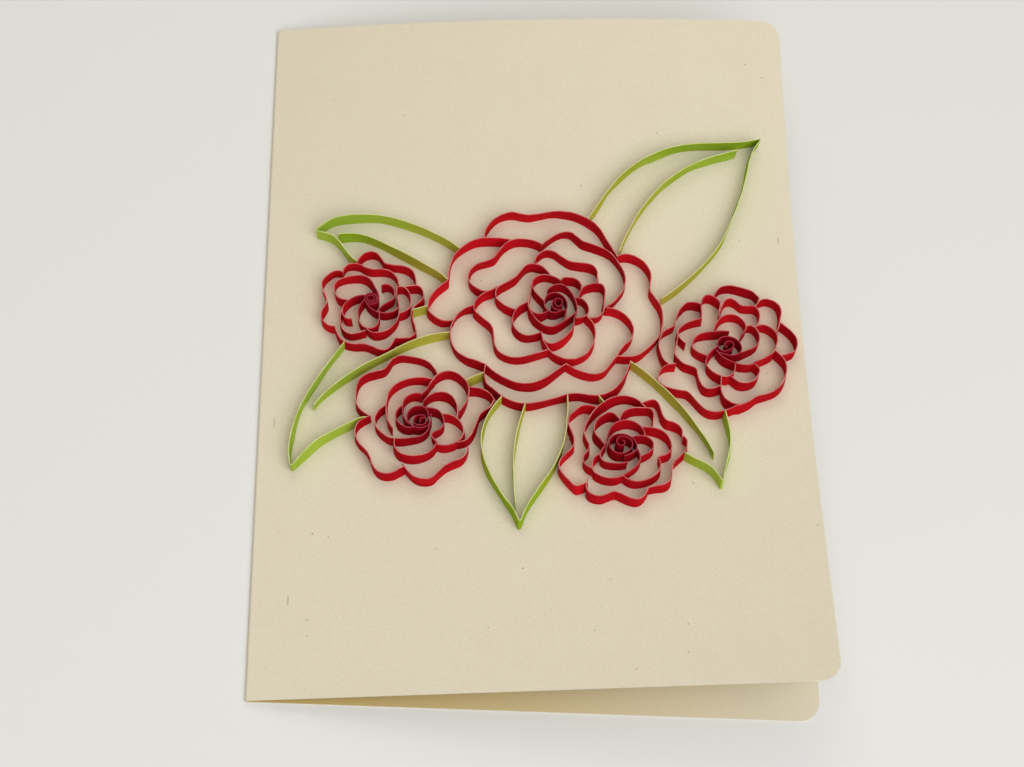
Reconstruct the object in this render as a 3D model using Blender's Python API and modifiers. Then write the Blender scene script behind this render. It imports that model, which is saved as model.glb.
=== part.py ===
"""A folded greeting card with a quilled paper flower arrangement glued on its front.

Run it with: blender --background --python part.py

Lengths are millimetres until the finished meshes are scaled to metres. Strips are drawn on the flat
sheet of the card (x from the spine, y from the bottom edge) and then bent with the front panel.
"""
import math
from dataclasses import dataclass

import bmesh
import bpy
from mathutils import Vector, kdtree
from mathutils.geometry import interpolate_bezier, intersect_line_line_2d, intersect_point_line

MM = 0.001
COLLECTION = "Quilled paper flower card"

# Card: one A5 sheet folded once to A6
CARD_WIDTH = 105.0
CARD_HEIGHT = 148.0
CARD_STOCK = 0.3
CORNER_RADIUS = 4.0
FOLD_RADIUS = 0.35
LIFT_BOTTOM = 22.3
LIFT_MIDDLE = 11.5
LIFT_TOP = 16.8
HUMP_TOP = 2.2

# Quilling strips: 1/8 inch wide, standing on edge
STRIP_WIDTH = 3.2
PAPER = 0.18
GLUE_LINE = 0.08
CLEARANCE = 0.34
FOLDED_TIP = 0.3

# Millimetres of sheet for each unit that the strips are drawn in
DRAWN_UNIT = 1.0

# Fineness of the curves
SAMPLE_STEP = 0.25
CURVE_TOLERANCE = 0.06
END_SLACK = 1.2
SETTLE_ROUNDS = 40
CARD_ROWS = 16
CARD_COLUMNS = 12
CORNER_STEPS = 4
FOLD_STEPS = 6

# Colour, roughness
CARD_STOCK_CREAM = ("card_stock_cream", (0.76, 0.66, 0.49), 0.85)
RED_PAPER = ("red_quilling_paper", (0.42, 0.012, 0.02), 0.7)
GREEN_PAPER = ("green_quilling_paper", (0.33, 0.40, 0.06), 0.7)

START, END = 0, -1
SHARP = True


@dataclass(frozen=True)
class Strip:
    """One paper strip: its route on the sheet, and the strip that one of its ends is glued to.

    Where that strip is glued to a further one, it comes later in the list.
    """

    name: str
    route: list
    onto: str = ""
    end: int = END


def curve_through(points):
    """Samples of a smooth curve through a run of points, about SAMPLE_STEP apart."""
    spots = [Vector(point[:2]) for point in points]
    last = len(spots) - 1
    headings = [(spots[min(i + 1, last)] - spots[max(i - 1, 0)]).normalized() for i in range(last + 1)]
    samples = [spots[0]]
    for i in range(last):
        reach = (spots[i + 1] - spots[i]).length
        steps = max(1, round(reach / SAMPLE_STEP))
        near = spots[i] + headings[i] * reach / 3.0
        far = spots[i + 1] - headings[i + 1] * reach / 3.0
        samples += interpolate_bezier(spots[i], near, far, spots[i + 1], steps + 1)[1:]
    return [Vector(sample) for sample in samples]


def smooth(points):
    """Samples along a whole route, with a crease at each point marked SHARP."""
    samples = []
    run = [points[0]]
    for i, point in enumerate(points[1:], start=1):
        run.append(point)
        if len(point) == 3 or i == len(points) - 1:
            samples += curve_through(run)[1 if samples else 0:]
            run = [point]
    return samples


def spiral(x, y, inner, outer, turns, start_degrees, steps_per_turn=16):
    """Route of a coil from its middle outwards, clockwise where turns is negative."""
    count = round(abs(turns) * steps_per_turn)
    route = []
    for i in range(count + 1):
        part = i / count
        angle = math.radians(start_degrees) + part * turns * math.tau
        radius = inner + (outer - inner) * part
        route.append((x + radius * math.cos(angle), y + radius * math.sin(angle)))
    return route


def folded(first, second):
    """Route of a leaf outline: two sides that both run to the tip, folded there."""
    there = smooth(first)
    back = smooth(second)
    while len(there) > 2 and (there[-1] - back[-1]).length < FOLDED_TIP:
        there.pop()
        back.pop()
    turn = [(*there.pop(), SHARP), (*back.pop(), SHARP)]
    return [tuple(spot) for spot in there] + turn + [tuple(spot) for spot in reversed(back)]


LARGE_ROSE = [
    Strip("right_petal", [
        (68.7, 90.6), (69.6, 91.1), (70.7, 91.25), (72.3, 90.8), (73.9, 89.6), (74.9, 88.0), (75.25, 86.4),
        (75.0, 84.8), (74.9, 83.2), (75.6, 81.7), (76.6, 80.0), (77.1, 78.0), (77.0, 75.3), (76.5, 73.2),
        (75.4, 71.6), (74.1, 70.2), (72.4, 68.7), (70.8, 68.05), (69.3, 68.0), (68.2, 68.0)]),
    Strip("top_petal", [
        (42.55, 94.9), (42.5, 95.8), (43.2, 97.4), (44.5, 99.0), (46.1, 100.1), (48.0, 100.65),
        (49.7, 100.3), (51.2, 100.05), (53.2, 100.3), (57.2, 100.95), (60.2, 100.6), (63.0, 99.35),
        (65.1, 97.5), (67.0, 94.0), (68.6, 90.8)], "right_petal", END),
    Strip("upper_left_petal", [
        (47.7, 94.4), (45.4, 94.65), (42.6, 94.65), (40.4, 94.1), (38.3, 92.65), (36.7, 90.8), (35.8, 88.5),
        (35.45, 86.2), (35.3, 85.0), (34.3, 84.1), (32.7, 82.4), (31.6, 80.3), (31.55, 78.3), (32.6, 76.9),
        (34.1, 75.95), (35.4, 75.8), (36.5, 76.1)]),
    Strip("left_inner_petal", [
        (45.0, 83.8), (44.1, 83.0), (43.0, 82.45), (41.9, 81.7), (41.0, 80.8), (40.45, 79.6), (40.45, 78.4),
        (41.2, 77.35), (42.4, 76.2), (43.5, 75.2), (44.0, 74.1), (44.2, 72.2), (44.4, 70.4), (45.2, 69.0),
        (46.7, 68.05), (48.2, 67.7), (50.2, 68.0), (52.2, 68.6), (54.1, 69.15)]),
    Strip("second_left_petal", [
        (54.3, 92.5), (53.4, 93.5), (52.0, 94.2), (50.2, 94.5), (48.5, 94.4), (47.3, 93.9), (46.1, 92.8),
        (45.2, 91.4), (44.3, 90.2), (42.9, 89.4), (41.2, 88.7), (40.0, 87.7), (39.35, 86.4), (39.3, 85.1),
        (39.8, 84.2), (40.8, 83.3), (42.0, 82.7), (42.8, 82.65)], "left_inner_petal", END),
    Strip("lower_left_petal", [
        (40.2, 79.3), (39.0, 78.85), (37.8, 77.9), (36.8, 76.6), (36.1, 75.1), (35.8, 73.4), (35.9, 71.7),
        (36.4, 70.1), (37.4, 68.7), (39.0, 67.65), (40.8, 67.0), (42.4, 66.3, SHARP), (44.3, 64.5),
        (46.2, 63.2), (48.3, 62.2), (50.0, 62.0), (51.8, 62.2), (53.8, 63.1), (56.0, 64.8), (57.9, 66.4)]),
    Strip("bottom_petal", [
        (42.4, 65.9), (42.3, 64.0), (42.8, 62.0), (44.0, 60.8), (45.7, 59.2), (47.8, 58.05), (50.2, 57.6),
        (53.0, 58.0), (56.0, 58.85), (58.2, 59.6), (60.1, 59.8), (62.8, 59.4), (64.6, 59.5), (66.1, 60.15),
        (67.4, 61.1), (68.5, 62.4), (69.4, 64.0), (69.95, 65.6), (70.3, 67.3)]),
    Strip("upper_right_petal", [
        (53.8, 93.1), (54.9, 94.2), (56.5, 95.45), (58.2, 96.15), (59.7, 96.1), (60.8, 95.2), (62.0, 94.15),
        (63.9, 93.45), (66.2, 92.4), (67.6, 91.3), (68.9, 89.3), (69.9, 87.1), (70.15, 85.2), (69.6, 83.2),
        (68.3, 81.1), (66.8, 79.6), (65.95, 78.9)]),
    Strip("third_top_petal", [
        (52.75, 88.9), (52.45, 89.9), (53.3, 91.1), (54.5, 91.95), (56.0, 91.75), (57.6, 90.6),
        (59.1, 89.55),
        (60.8, 89.2), (62.7, 89.0), (64.0, 88.4), (64.65, 87.1), (64.6, 85.7), (64.4, 84.7)]),
    Strip("small_left_petal", [
        (50.65, 80.3), (49.4, 79.35), (48.5, 78.3), (47.95, 77.0), (47.85, 75.6), (48.3, 74.3),
        (49.3, 73.15), (50.6, 72.65), (52.0, 72.85), (53.3, 73.5)]),
    Strip("crown_petal", [
        (55.5, 86.75), (54.5, 87.7), (53.3, 88.5), (51.9, 88.8), (50.6, 88.35), (49.6, 87.2), (48.6, 85.9),
        (47.2, 84.8), (45.8, 84.0), (44.9, 83.2), (44.6, 82.0), (44.9, 80.8), (45.8, 79.8), (47.0, 79.0),
        (48.3, 78.5)], "small_left_petal", END),
    Strip("lower_right_petal", [
        (66.3, 78.9), (67.6, 78.75), (69.0, 78.1), (70.1, 77.1), (70.95, 75.7), (71.3, 74.2), (71.05, 72.7),
        (70.4, 71.5), (69.3, 70.5), (68.4, 69.2), (67.6, 67.8), (66.8, 66.7), (65.9, 65.4), (64.9, 64.5),
        (63.3, 64.05), (61.6, 64.4), (59.8, 65.15), (58.1, 66.2)]),
    Strip("bottom_inner_petal", [
        (53.45, 73.5), (53.7, 71.9), (54.3, 70.4), (55.0, 69.2), (56.0, 68.3), (57.4, 67.6), (58.9, 67.35),
        (60.4, 67.65), (61.8, 68.5), (62.9, 69.9), (63.6, 71.6), (63.85, 73.2), (63.75, 74.7), (63.3, 75.8),
        (62.4, 77.1)]),
    Strip("cup_petal", [
        (53.9, 71.6), (55.0, 70.85), (56.3, 71.1), (57.6, 72.0), (58.7, 73.2), (59.4, 74.3), (59.65, 75.5),
        (59.75, 76.6)], "bottom_inner_petal", START),
    Strip("side_petal", [
        (60.8, 81.5), (61.2, 82.8), (61.9, 83.7), (63.1, 84.25), (64.4, 84.55), (65.5, 84.2), (66.0, 83.1),
        (65.95, 81.5), (65.75, 79.9), (65.7, 78.5), (65.2, 77.5), (64.2, 76.8), (62.8, 76.65)],
        "bottom_inner_petal", END),
    Strip("heart_left_petal", [
        (57.4, 85.0), (56.5, 85.7), (55.3, 86.2), (53.9, 86.35), (52.7, 85.9), (51.9, 85.0), (51.65, 83.7),
        (51.45, 82.3), (51.15, 80.8), (50.95, 79.4), (51.3, 78.4), (52.1, 77.7), (53.1, 77.35),
        (54.3, 77.6)]),
    Strip("small_top_petal", [
        (57.4, 84.9), (57.9, 85.6), (58.9, 85.8), (60.1, 85.6), (61.0, 84.9), (61.4, 84.0), (61.3, 83.2)],
        "heart_left_petal", START),
    Strip("turned_in_petal", [
        (51.8, 84.0), (52.05, 83.0), (52.5, 82.2), (53.1, 81.3), (53.5, 80.4)], "heart_left_petal", START),
    Strip("heart_lower_petal", [
        (51.1, 78.6), (51.8, 77.2), (52.6, 76.1), (53.7, 75.1), (54.8, 74.7), (55.9, 74.75), (57.1, 75.4),
        (58.3, 76.3), (59.4, 77.2), (60.1, 78.0)], "heart_left_petal", START),
    Strip("heart_ring", [
        (54.8, 82.9), (55.4, 83.6), (56.3, 84.1), (57.4, 84.2), (58.4, 83.7), (59.2, 82.7), (59.9, 81.4),
        (60.3, 80.1), (60.5, 78.8), (60.25, 77.6), (59.95, 76.6)]),
    Strip("small_right_petal", [
        (60.2, 81.2), (61.1, 81.2), (61.9, 80.55), (62.5, 79.6), (62.7, 78.4), (62.4, 77.3), (61.5, 76.75),
        (60.6, 76.35)], "heart_ring", START),
    Strip("heart_wrap", [
        (57.3, 77.85), (56.2, 77.7), (55.05, 78.05), (54.25, 78.95), (54.1, 80.2), (54.45, 81.35),
        (55.3, 82.1),
        (56.45, 82.25), (57.5, 81.75), (58.25, 80.8), (58.55, 79.6), (58.4, 78.4), (58.0, 77.4),
        (57.7, 76.6)]),
    Strip("heart_coil", [
        (56.3, 80.4), (56.15, 79.9), (56.35, 79.4), (56.8, 79.15), (57.3, 79.4), (57.6, 79.95),
        (57.55, 80.5),
        (57.2, 80.9), (56.65, 81.0), (56.1, 80.75), (55.7, 80.2), (55.6, 79.55), (55.8, 78.95),
        (56.35, 78.55),
        (57.1, 78.4), (57.8, 78.6)], "heart_wrap", END),
]

UPPER_LEFT_ROSE = [
    Strip("outer_top_petal", [
        (15.0, 86.7), (15.15, 87.6), (15.8, 88.4), (16.9, 88.65), (18.2, 88.4), (19.3, 87.75),
        (20.6, 87.35),
        (22.0, 87.4), (23.3, 87.25), (24.5, 86.6), (25.4, 85.4), (25.85, 83.9)]),
    Strip("crest_petal", [
        (17.8, 89.1), (18.1, 90.0), (19.0, 90.95), (20.2, 91.4), (21.3, 91.1), (22.1, 90.2),
        (23.0, 88.7, SHARP),
        (24.5, 88.35), (26.2, 88.2), (27.7, 87.7), (28.6, 86.8), (29.05, 85.4), (29.2, 84.1)],
        "outer_top_petal", START),
    Strip("lower_outer_petal", [
        (13.75, 74.5), (14.0, 73.4), (14.6, 72.1), (15.6, 71.1), (17.3, 70.65), (19.3, 70.6), (21.0, 70.0),
        (22.6, 69.35), (23.8, 69.6), (24.6, 70.7), (25.1, 71.9)]),
    Strip("left_outer_petal", [
        (14.8, 86.6), (14.1, 87.0), (13.2, 86.95), (12.1, 86.2), (11.1, 85.1), (10.75, 83.9), (11.1, 82.6),
        (11.7, 81.2), (11.9, 80.1), (11.5, 79.0), (10.95, 77.9), (10.85, 76.7), (11.4, 75.6), (12.4, 74.8),
        (13.6, 74.6)], "lower_outer_petal", END),
    Strip("lower_right_petal", [
        (25.4, 71.9), (26.7, 71.9), (28.0, 72.0, SHARP), (29.15, 73.1), (29.0, 74.6), (28.6, 75.9),
        (28.2, 77.4)]),
    Strip("right_petal", [
        (27.35, 83.95), (28.4, 83.8), (29.5, 83.65), (30.3, 82.9), (30.6, 81.7), (30.4, 80.6), (29.6, 79.8),
        (28.8, 79.0), (28.3, 77.9)], "lower_right_petal", END),
    Strip("bowl_petal", [
        (25.25, 83.2), (25.35, 81.8), (25.6, 80.4), (25.85, 79.0), (25.9, 77.5), (25.55, 75.9),
        (24.7, 74.6),
        (23.5, 73.65), (22.1, 73.2), (20.7, 73.15), (19.6, 73.65)]),
    Strip("inner_right_petal", [
        (25.5, 83.6), (26.5, 83.5), (27.3, 82.9), (27.9, 81.8), (28.15, 80.4), (28.05, 79.1), (27.5, 78.1),
        (26.5, 77.4)], "bowl_petal", START),
    Strip("under_petal", [
        (19.5, 79.5), (20.6, 78.4), (22.0, 77.7), (23.5, 77.5), (24.7, 77.9), (25.6, 78.7)]),
    Strip("hook_petal", [
        (22.4, 83.7), (23.2, 83.95), (24.1, 83.7), (24.8, 82.9), (25.0, 81.8), (24.8, 80.8), (24.0, 80.1),
        (23.0, 79.4), (22.1, 78.6), (21.9, 77.9)], "under_petal", END),
    Strip("drop_petal", [
        (19.0, 80.5), (18.3, 79.2), (17.95, 77.8), (18.05, 76.3), (18.6, 75.0), (19.6, 74.2), (20.8, 74.15),
        (21.7, 74.9), (22.05, 76.2), (22.1, 77.5)], "under_petal", END),
    Strip("heart_petal", [
        (18.9, 81.8), (17.8, 81.4), (16.4, 80.6), (15.4, 79.6), (14.95, 78.4), (15.05, 77.2), (15.7, 76.3),
        (16.8, 76.2)]),
    Strip("left_bowl_petal", [
        (14.7, 78.3), (14.6, 77.2), (14.6, 75.9), (14.9, 74.6), (15.5, 73.5), (16.6, 72.9), (17.8, 73.0),
        (19.0, 73.6)], "heart_petal", START),
    Strip("hood_petal", [
        (22.0, 80.5), (21.75, 82.0), (21.1, 83.4), (20.5, 84.6), (19.7, 85.5), (18.4, 85.95), (16.8, 85.85),
        (15.1, 85.4), (13.8, 84.7), (13.25, 83.6), (13.35, 82.3), (13.8, 81.3), (14.6, 80.75),
        (15.7, 80.6)],
        "heart_petal", END),
    Strip("heart_coil", spiral(20.45, 80.95, 0.5, 1.3, 2.2, 200.0)),
]

LOWER_LEFT_ROSE = [
    Strip("upper_petal", [
        (33.3, 64.2), (32.7, 65.4), (31.7, 66.6), (30.2, 67.4), (28.3, 67.8), (26.3, 68.0), (24.8, 67.3),
        (24.0, 66.1), (23.1, 65.05), (21.6, 64.6), (19.9, 64.0), (18.7, 63.0), (18.1, 61.5), (17.95, 59.6),
        (18.1, 57.8), (18.8, 56.5), (19.8, 55.7), (20.8, 55.3)]),
    Strip("bottom_petal", [
        (27.0, 45.1), (27.6, 43.9), (28.8, 42.4), (30.4, 41.65), (32.3, 41.75), (33.6, 43.0), (34.9, 44.3),
        (36.4, 45.15), (37.9, 45.8), (38.8, 46.8), (39.2, 48.4)]),
    Strip("left_petal", [
        (20.85, 54.8), (19.6, 54.4), (18.5, 53.6), (18.0, 52.3), (18.1, 50.8), (18.9, 49.2), (20.1, 47.8),
        (20.9, 46.4), (21.4, 44.8), (22.3, 43.45), (23.6, 42.85), (25.1, 43.0), (26.9, 44.1)],
        "bottom_petal", END),
    Strip("right_petal", [
        (39.7, 61.2), (41.0, 61.0), (42.4, 60.5), (43.5, 59.6), (44.2, 58.4, SHARP), (43.4, 56.9),
        (42.3, 56.0),
        (41.4, 55.1), (40.9, 53.8), (40.3, 52.1), (39.6, 50.6), (38.6, 49.6), (37.2, 49.1)]),
    Strip("arch_petal", [
        (30.5, 59.7), (31.4, 60.8), (32.2, 62.3), (33.1, 63.6), (34.3, 64.4), (35.6, 64.7), (37.0, 64.3),
        (38.3, 63.2), (39.1, 61.9), (39.4, 60.3), (39.1, 58.6), (38.4, 57.0), (37.8, 55.8)]),
    Strip("crescent_petal", [
        (32.5, 63.0), (30.5, 63.3), (28.7, 63.15), (27.0, 62.6), (25.4, 61.7), (24.3, 60.2), (23.8, 58.2),
        (23.75, 56.0), (24.1, 54.0), (25.1, 52.3)], "arch_petal", START),
    Strip("heart_top_petal", [
        (30.4, 59.6), (29.2, 59.85), (28.0, 59.4), (27.1, 58.4), (26.85, 57.0), (26.9, 55.5), (27.3, 54.2),
        (27.9, 53.3)], "arch_petal", START),
    Strip("inner_arch_petal", [
        (30.8, 58.2), (31.8, 59.3), (33.3, 60.0), (34.8, 60.0), (36.1, 59.3), (36.95, 57.9), (37.25, 56.3),
        (37.3, 54.7)]),
    Strip("saucer_petal", [
        (23.4, 57.3), (22.3, 56.1), (21.65, 54.5), (21.9, 52.9), (22.9, 51.5), (24.5, 50.4), (26.5, 50.1),
        (28.5, 50.3), (30.4, 50.7), (31.6, 51.8), (32.2, 53.2)]),
    Strip("lower_inner_petal", [
        (25.45, 50.2), (25.4, 48.8), (26.2, 47.4), (27.6, 46.7), (29.3, 46.5), (31.0, 46.8), (32.4, 47.6),
        (33.1, 48.8)], "saucer_petal", START),
    Strip("side_petal", [
        (31.5, 57.0), (32.7, 56.6), (33.8, 56.0), (34.4, 55.0), (34.7, 53.8), (34.5, 52.8), (33.8, 52.0),
        (32.9, 51.5), (32.3, 50.9), (33.2, 49.9)]),
    Strip("right_inner_petal", [
        (34.7, 55.5), (35.9, 55.2), (37.2, 54.3), (38.1, 53.0), (38.4, 51.5), (37.8, 50.0), (36.7, 49.1),
        (35.3, 48.65), (34.2, 48.75), (33.4, 49.2)], "side_petal", START),
    Strip("heart_coil", [
        (30.15, 53.6), (30.2, 54.15), (30.45, 54.6), (30.9, 54.55), (31.05, 54.95), (30.4, 55.15),
        (29.75, 55.05),
        (29.2, 54.7), (28.95, 54.05), (29.15, 53.35), (29.8, 53.0), (30.6, 53.0), (31.3, 53.5),
        (31.65, 54.4),
        (31.7, 55.3), (31.5, 56.1), (30.9, 56.8), (29.9, 57.05), (29.0, 56.85), (28.2, 56.2), (27.75, 55.3),
        (27.75, 54.3), (28.2, 53.35), (29.1, 52.65), (30.3, 52.4), (31.4, 52.75), (32.1, 53.6),
        (32.3, 54.6),
        (32.15, 55.4)]),
    Strip("heart_left_petal", [
        (28.9, 52.35), (28.0, 52.4), (27.0, 52.85), (26.1, 53.6), (25.55, 54.9), (25.7, 56.2),
        (26.2, 57.2)],
        "heart_coil", START),
]

LOWER_RIGHT_ROSE = [
    Strip("bottom_petal", [
        (61.4, 41.6), (61.15, 40.2), (61.3, 38.8), (62.3, 37.85), (63.7, 37.5), (65.1, 38.0), (66.4, 38.45),
        (67.8, 37.85), (69.3, 37.0), (70.6, 36.75), (71.7, 37.4), (72.4, 38.6), (72.5, 39.1)]),
    Strip("left_petal", [
        (63.3, 57.05), (61.8, 57.2), (60.5, 56.9), (59.4, 55.9), (58.4, 54.8), (58.1, 53.6), (58.6, 51.9),
        (59.1, 50.1), (59.1, 48.7), (58.4, 47.6), (57.3, 46.4), (56.3, 45.0), (56.2, 43.7), (57.0, 42.1),
        (58.2, 40.7), (59.2, 39.75), (60.2, 40.0), (61.1, 40.5)], "bottom_petal", END),
    Strip("lower_right_petal", [
        (72.7, 39.3), (74.0, 39.55), (75.5, 39.85), (76.6, 40.6), (77.1, 41.8), (77.3, 43.3), (77.7, 44.6),
        (78.7, 45.7), (79.8, 46.8)]),
    Strip("tab_petal", [
        (79.55, 50.2), (80.2, 49.8), (80.45, 48.9), (80.3, 47.9), (80.0, 47.1)], "lower_right_petal", END),
    Strip("top_petal", [
        (72.9, 57.2), (71.6, 58.35), (70.0, 59.1), (68.2, 59.25), (66.4, 58.75), (64.6, 57.6), (63.0, 55.9),
        (61.8, 53.8), (61.1, 51.6), (61.4, 49.9), (61.95, 48.5), (61.6, 47.2), (60.85, 46.2), (60.8, 44.9),
        (61.4, 43.95), (62.2, 43.5)]),
    Strip("right_petal", [
        (72.4, 57.8), (73.4, 58.2), (74.5, 58.4), (75.3, 57.8), (75.75, 56.3), (76.1, 54.9), (76.8, 53.9),
        (78.0, 53.45), (79.1, 52.7), (79.65, 51.6), (79.5, 50.7)], "top_petal", START),
    Strip("ring_petal", [
        (65.3, 48.7), (65.35, 50.0), (65.9, 51.8), (66.9, 53.2), (68.4, 53.85), (70.0, 53.75), (71.4, 53.0),
        (72.3, 51.9), (72.7, 50.9)]),
    Strip("upper_inner_petal", [
        (67.7, 53.8), (68.2, 55.0), (69.2, 56.1), (70.7, 56.6), (72.4, 56.6), (73.7, 56.45), (74.35, 55.6),
        (74.3, 54.0), (74.2, 52.6)], "ring_petal", START),
    Strip("left_inner_petal", [
        (67.6, 54.3), (66.9, 55.3), (65.8, 55.55), (64.6, 54.9), (63.5, 53.7), (63.0, 52.2), (63.2, 50.9),
        (64.1, 49.7), (65.0, 48.5)]),
    Strip("heart_left_petal", [
        (64.9, 48.4), (64.3, 47.5), (63.9, 46.5), (64.1, 45.5), (65.0, 44.8), (66.4, 44.5), (67.9, 44.5),
        (69.0, 44.75)], "left_inner_petal", START),
    Strip("lower_inner_petal", [
        (68.1, 41.6), (69.3, 40.85), (70.8, 40.55), (72.5, 40.95), (73.9, 41.8), (74.9, 43.0),
        (75.15, 44.4),
        (74.8, 45.6)]),
    Strip("right_inner_petal", [
        (72.5, 52.6), (74.0, 52.3), (75.6, 51.7), (76.7, 50.6), (77.35, 49.1), (77.35, 47.6), (76.5, 46.5),
        (75.5, 46.1), (74.7, 45.9)], "lower_inner_petal", END),
    Strip("bowl_petal", [
        (63.5, 46.7), (62.8, 45.8), (62.4, 44.4), (62.6, 42.9), (63.7, 41.95), (65.2, 41.4), (66.8, 41.4),
        (68.2, 42.0), (69.6, 43.0), (70.8, 44.2), (71.5, 45.7), (71.5, 47.4)]),
    Strip("heart_coil", [
        (68.3, 49.5), (68.6, 49.2), (68.6, 48.75), (68.2, 48.4), (67.65, 48.45), (67.25, 48.9),
        (67.15, 49.5),
        (67.45, 50.1), (68.15, 50.35), (69.0, 50.2), (69.75, 49.65), (70.1, 48.85), (69.9, 47.9),
        (69.2, 47.1),
        (68.1, 46.65), (67.0, 46.85), (66.1, 47.5), (65.7, 48.5), (65.8, 49.6), (66.45, 50.45),
        (67.5, 50.85),
        (68.8, 50.75), (69.85, 50.2), (70.55, 49.4), (70.9, 48.5), (70.85, 47.6), (70.3, 46.95),
        (69.4, 46.45),
        (68.5, 46.1)]),
    Strip("heart_right_petal", [
        (70.4, 50.5), (71.7, 50.55), (73.1, 50.1), (74.0, 49.0), (73.9, 47.8), (73.1, 46.8), (72.1, 46.0)],
        "heart_coil", START),
]

RIGHT_ROSE = [
    Strip("upper_right_petal", [
        (95.7, 80.2), (96.5, 81.2), (97.8, 81.45), (99.2, 81.0), (100.2, 80.0), (100.5, 78.5),
        (100.15, 76.8),
        (99.85, 75.2), (99.5, 74.0)]),
    Strip("top_petal", [
        (87.5, 82.1), (88.0, 83.1), (88.7, 83.95), (89.7, 84.35), (90.9, 84.45), (92.3, 84.15),
        (93.8, 83.7),
        (95.1, 83.2), (95.9, 82.3), (96.3, 81.7), (96.0, 81.0)], "upper_right_petal", END),
    Strip("left_petal", [
        (79.3, 75.0), (78.2, 74.4), (76.9, 73.5), (76.3, 72.2), (76.1, 70.6), (76.35, 69.0), (76.9, 67.5),
        (77.7, 66.8)], "upper_left_petal", START),
    Strip("upper_left_petal", [
        (79.5, 75.3), (79.7, 76.5), (80.1, 77.9), (80.9, 79.3), (81.9, 80.3), (83.2, 80.55), (84.4, 80.2)],
        "second_top_petal", END),
    Strip("second_top_petal", [
        (84.9, 76.3), (84.85, 77.8), (84.8, 79.6), (85.1, 81.2), (85.8, 82.1), (86.9, 82.1), (87.8, 81.5),
        (88.6, 80.5), (88.45, 79.3), (88.1, 78.2), (88.0, 77.2)]),
    Strip("inner_left_petal", [
        (84.5, 76.8), (83.2, 76.4), (81.6, 75.6), (80.3, 74.5), (79.85, 73.3), (80.4, 72.1), (81.3, 71.1)]),
    Strip("lower_left_petal", [
        (79.75, 72.9), (79.6, 71.4), (79.3, 69.9), (79.1, 68.6), (79.9, 67.4), (80.8, 66.5), (82.0, 66.0),
        (83.0, 65.4), (83.3, 64.0), (83.6, 62.5), (84.4, 61.2), (85.6, 60.9), (87.2, 61.6)],
        "inner_left_petal", START),
    Strip("bottom_left_petal", [
        (79.2, 66.5), (77.8, 66.3), (76.8, 65.8), (76.0, 64.7), (75.5, 62.7, SHARP), (76.4, 61.7),
        (77.9, 61.0),
        (79.6, 60.55), (81.1, 60.2), (82.0, 59.2), (83.2, 57.4), (84.6, 56.1), (86.2, 55.7), (87.8, 56.0)]),
    Strip("bottom_petal", [
        (87.65, 63.2), (87.6, 61.6), (87.65, 60.1), (88.3, 58.7), (89.6, 57.7), (91.2, 57.45), (92.7, 58.1),
        (94.3, 59.2), (96.2, 59.8), (97.8, 60.5), (99.2, 61.8), (100.2, 63.8), (100.6, 65.8), (100.4, 67.4),
        (99.6, 68.7), (98.8, 69.7)]),
    Strip("right_petal", [
        (100.3, 76.1), (101.2, 75.2), (102.3, 74.0), (103.0, 72.7), (103.15, 71.2), (102.6, 69.7),
        (101.4, 69.1), (100.1, 68.7)], "bottom_petal", END),
    Strip("inner_right_petal", [
        (95.2, 75.2), (96.6, 75.55), (98.0, 75.0), (99.1, 73.8), (99.35, 72.2), (98.9, 70.6), (98.2, 69.2),
        (96.8, 68.2), (95.5, 67.5), (94.5, 67.0)]),
    Strip("inner_top_petal", [
        (88.5, 78.4), (88.8, 79.6), (89.5, 81.0), (90.5, 81.5), (91.6, 81.0), (92.6, 80.0), (93.9, 79.8),
        (95.2, 79.8), (96.0, 79.0), (96.2, 77.6), (95.9, 76.3), (95.4, 75.5)], "inner_right_petal", END),
    Strip("heart_left_petal", [
        (90.0, 73.95), (88.3, 74.0), (86.5, 73.8), (84.8, 73.5), (83.5, 72.8), (82.75, 71.5), (82.6, 70.3),
        (83.4, 69.3), (84.7, 68.6)]),
    Strip("heart_top_petal", [
        (86.9, 74.1), (87.4, 75.5), (88.4, 76.9), (89.9, 77.75), (91.5, 77.6), (92.8, 76.5), (93.4, 75.1),
        (92.9, 73.9), (92.2, 73.0)], "heart_left_petal", START),
    Strip("heart_coil", [
        (89.35, 70.3), (88.95, 70.6), (88.9, 71.1), (89.25, 71.55), (89.85, 71.7), (90.4, 71.45),
        (90.65, 70.9),
        (90.45, 70.35), (89.9, 69.9), (89.2, 69.5), (88.5, 69.45), (87.85, 69.9), (87.5, 70.7),
        (87.6, 71.6),
        (88.1, 72.35), (89.0, 72.75), (90.0, 72.7), (91.0, 72.3), (91.7, 71.6), (92.1, 70.7), (92.1, 69.7),
        (91.6, 68.95), (90.8, 68.6), (89.9, 68.5), (88.8, 68.75), (87.9, 69.2), (87.35, 69.8)]),
    Strip("heart_right_petal", [
        (93.6, 75.2), (94.6, 75.25), (95.5, 74.2), (95.85, 72.8), (95.5, 71.4), (94.6, 70.4), (93.2, 69.6),
        (91.8, 68.9), (91.2, 69.0)], "heart_coil", END),
    Strip("heart_lower_petal", [
        (87.0, 69.4), (88.3, 68.1), (90.0, 67.1), (91.8, 66.45), (93.2, 66.4), (94.2, 66.7)]),
    Strip("lower_inner_petal", [
        (86.9, 70.4), (86.0, 69.2), (85.2, 67.8), (85.0, 66.5), (85.6, 65.4), (86.8, 64.3), (88.2, 63.7),
        (89.4, 63.8), (90.3, 64.7), (90.6, 66.3)], "heart_lower_petal", END),
    Strip("bottom_inner_petal", [
        (90.2, 63.2), (91.2, 62.45), (92.7, 62.3), (94.1, 62.9), (95.0, 64.2), (95.3, 65.4), (94.8, 66.2),
        (94.2, 66.6)], "heart_lower_petal", END),
]

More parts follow.
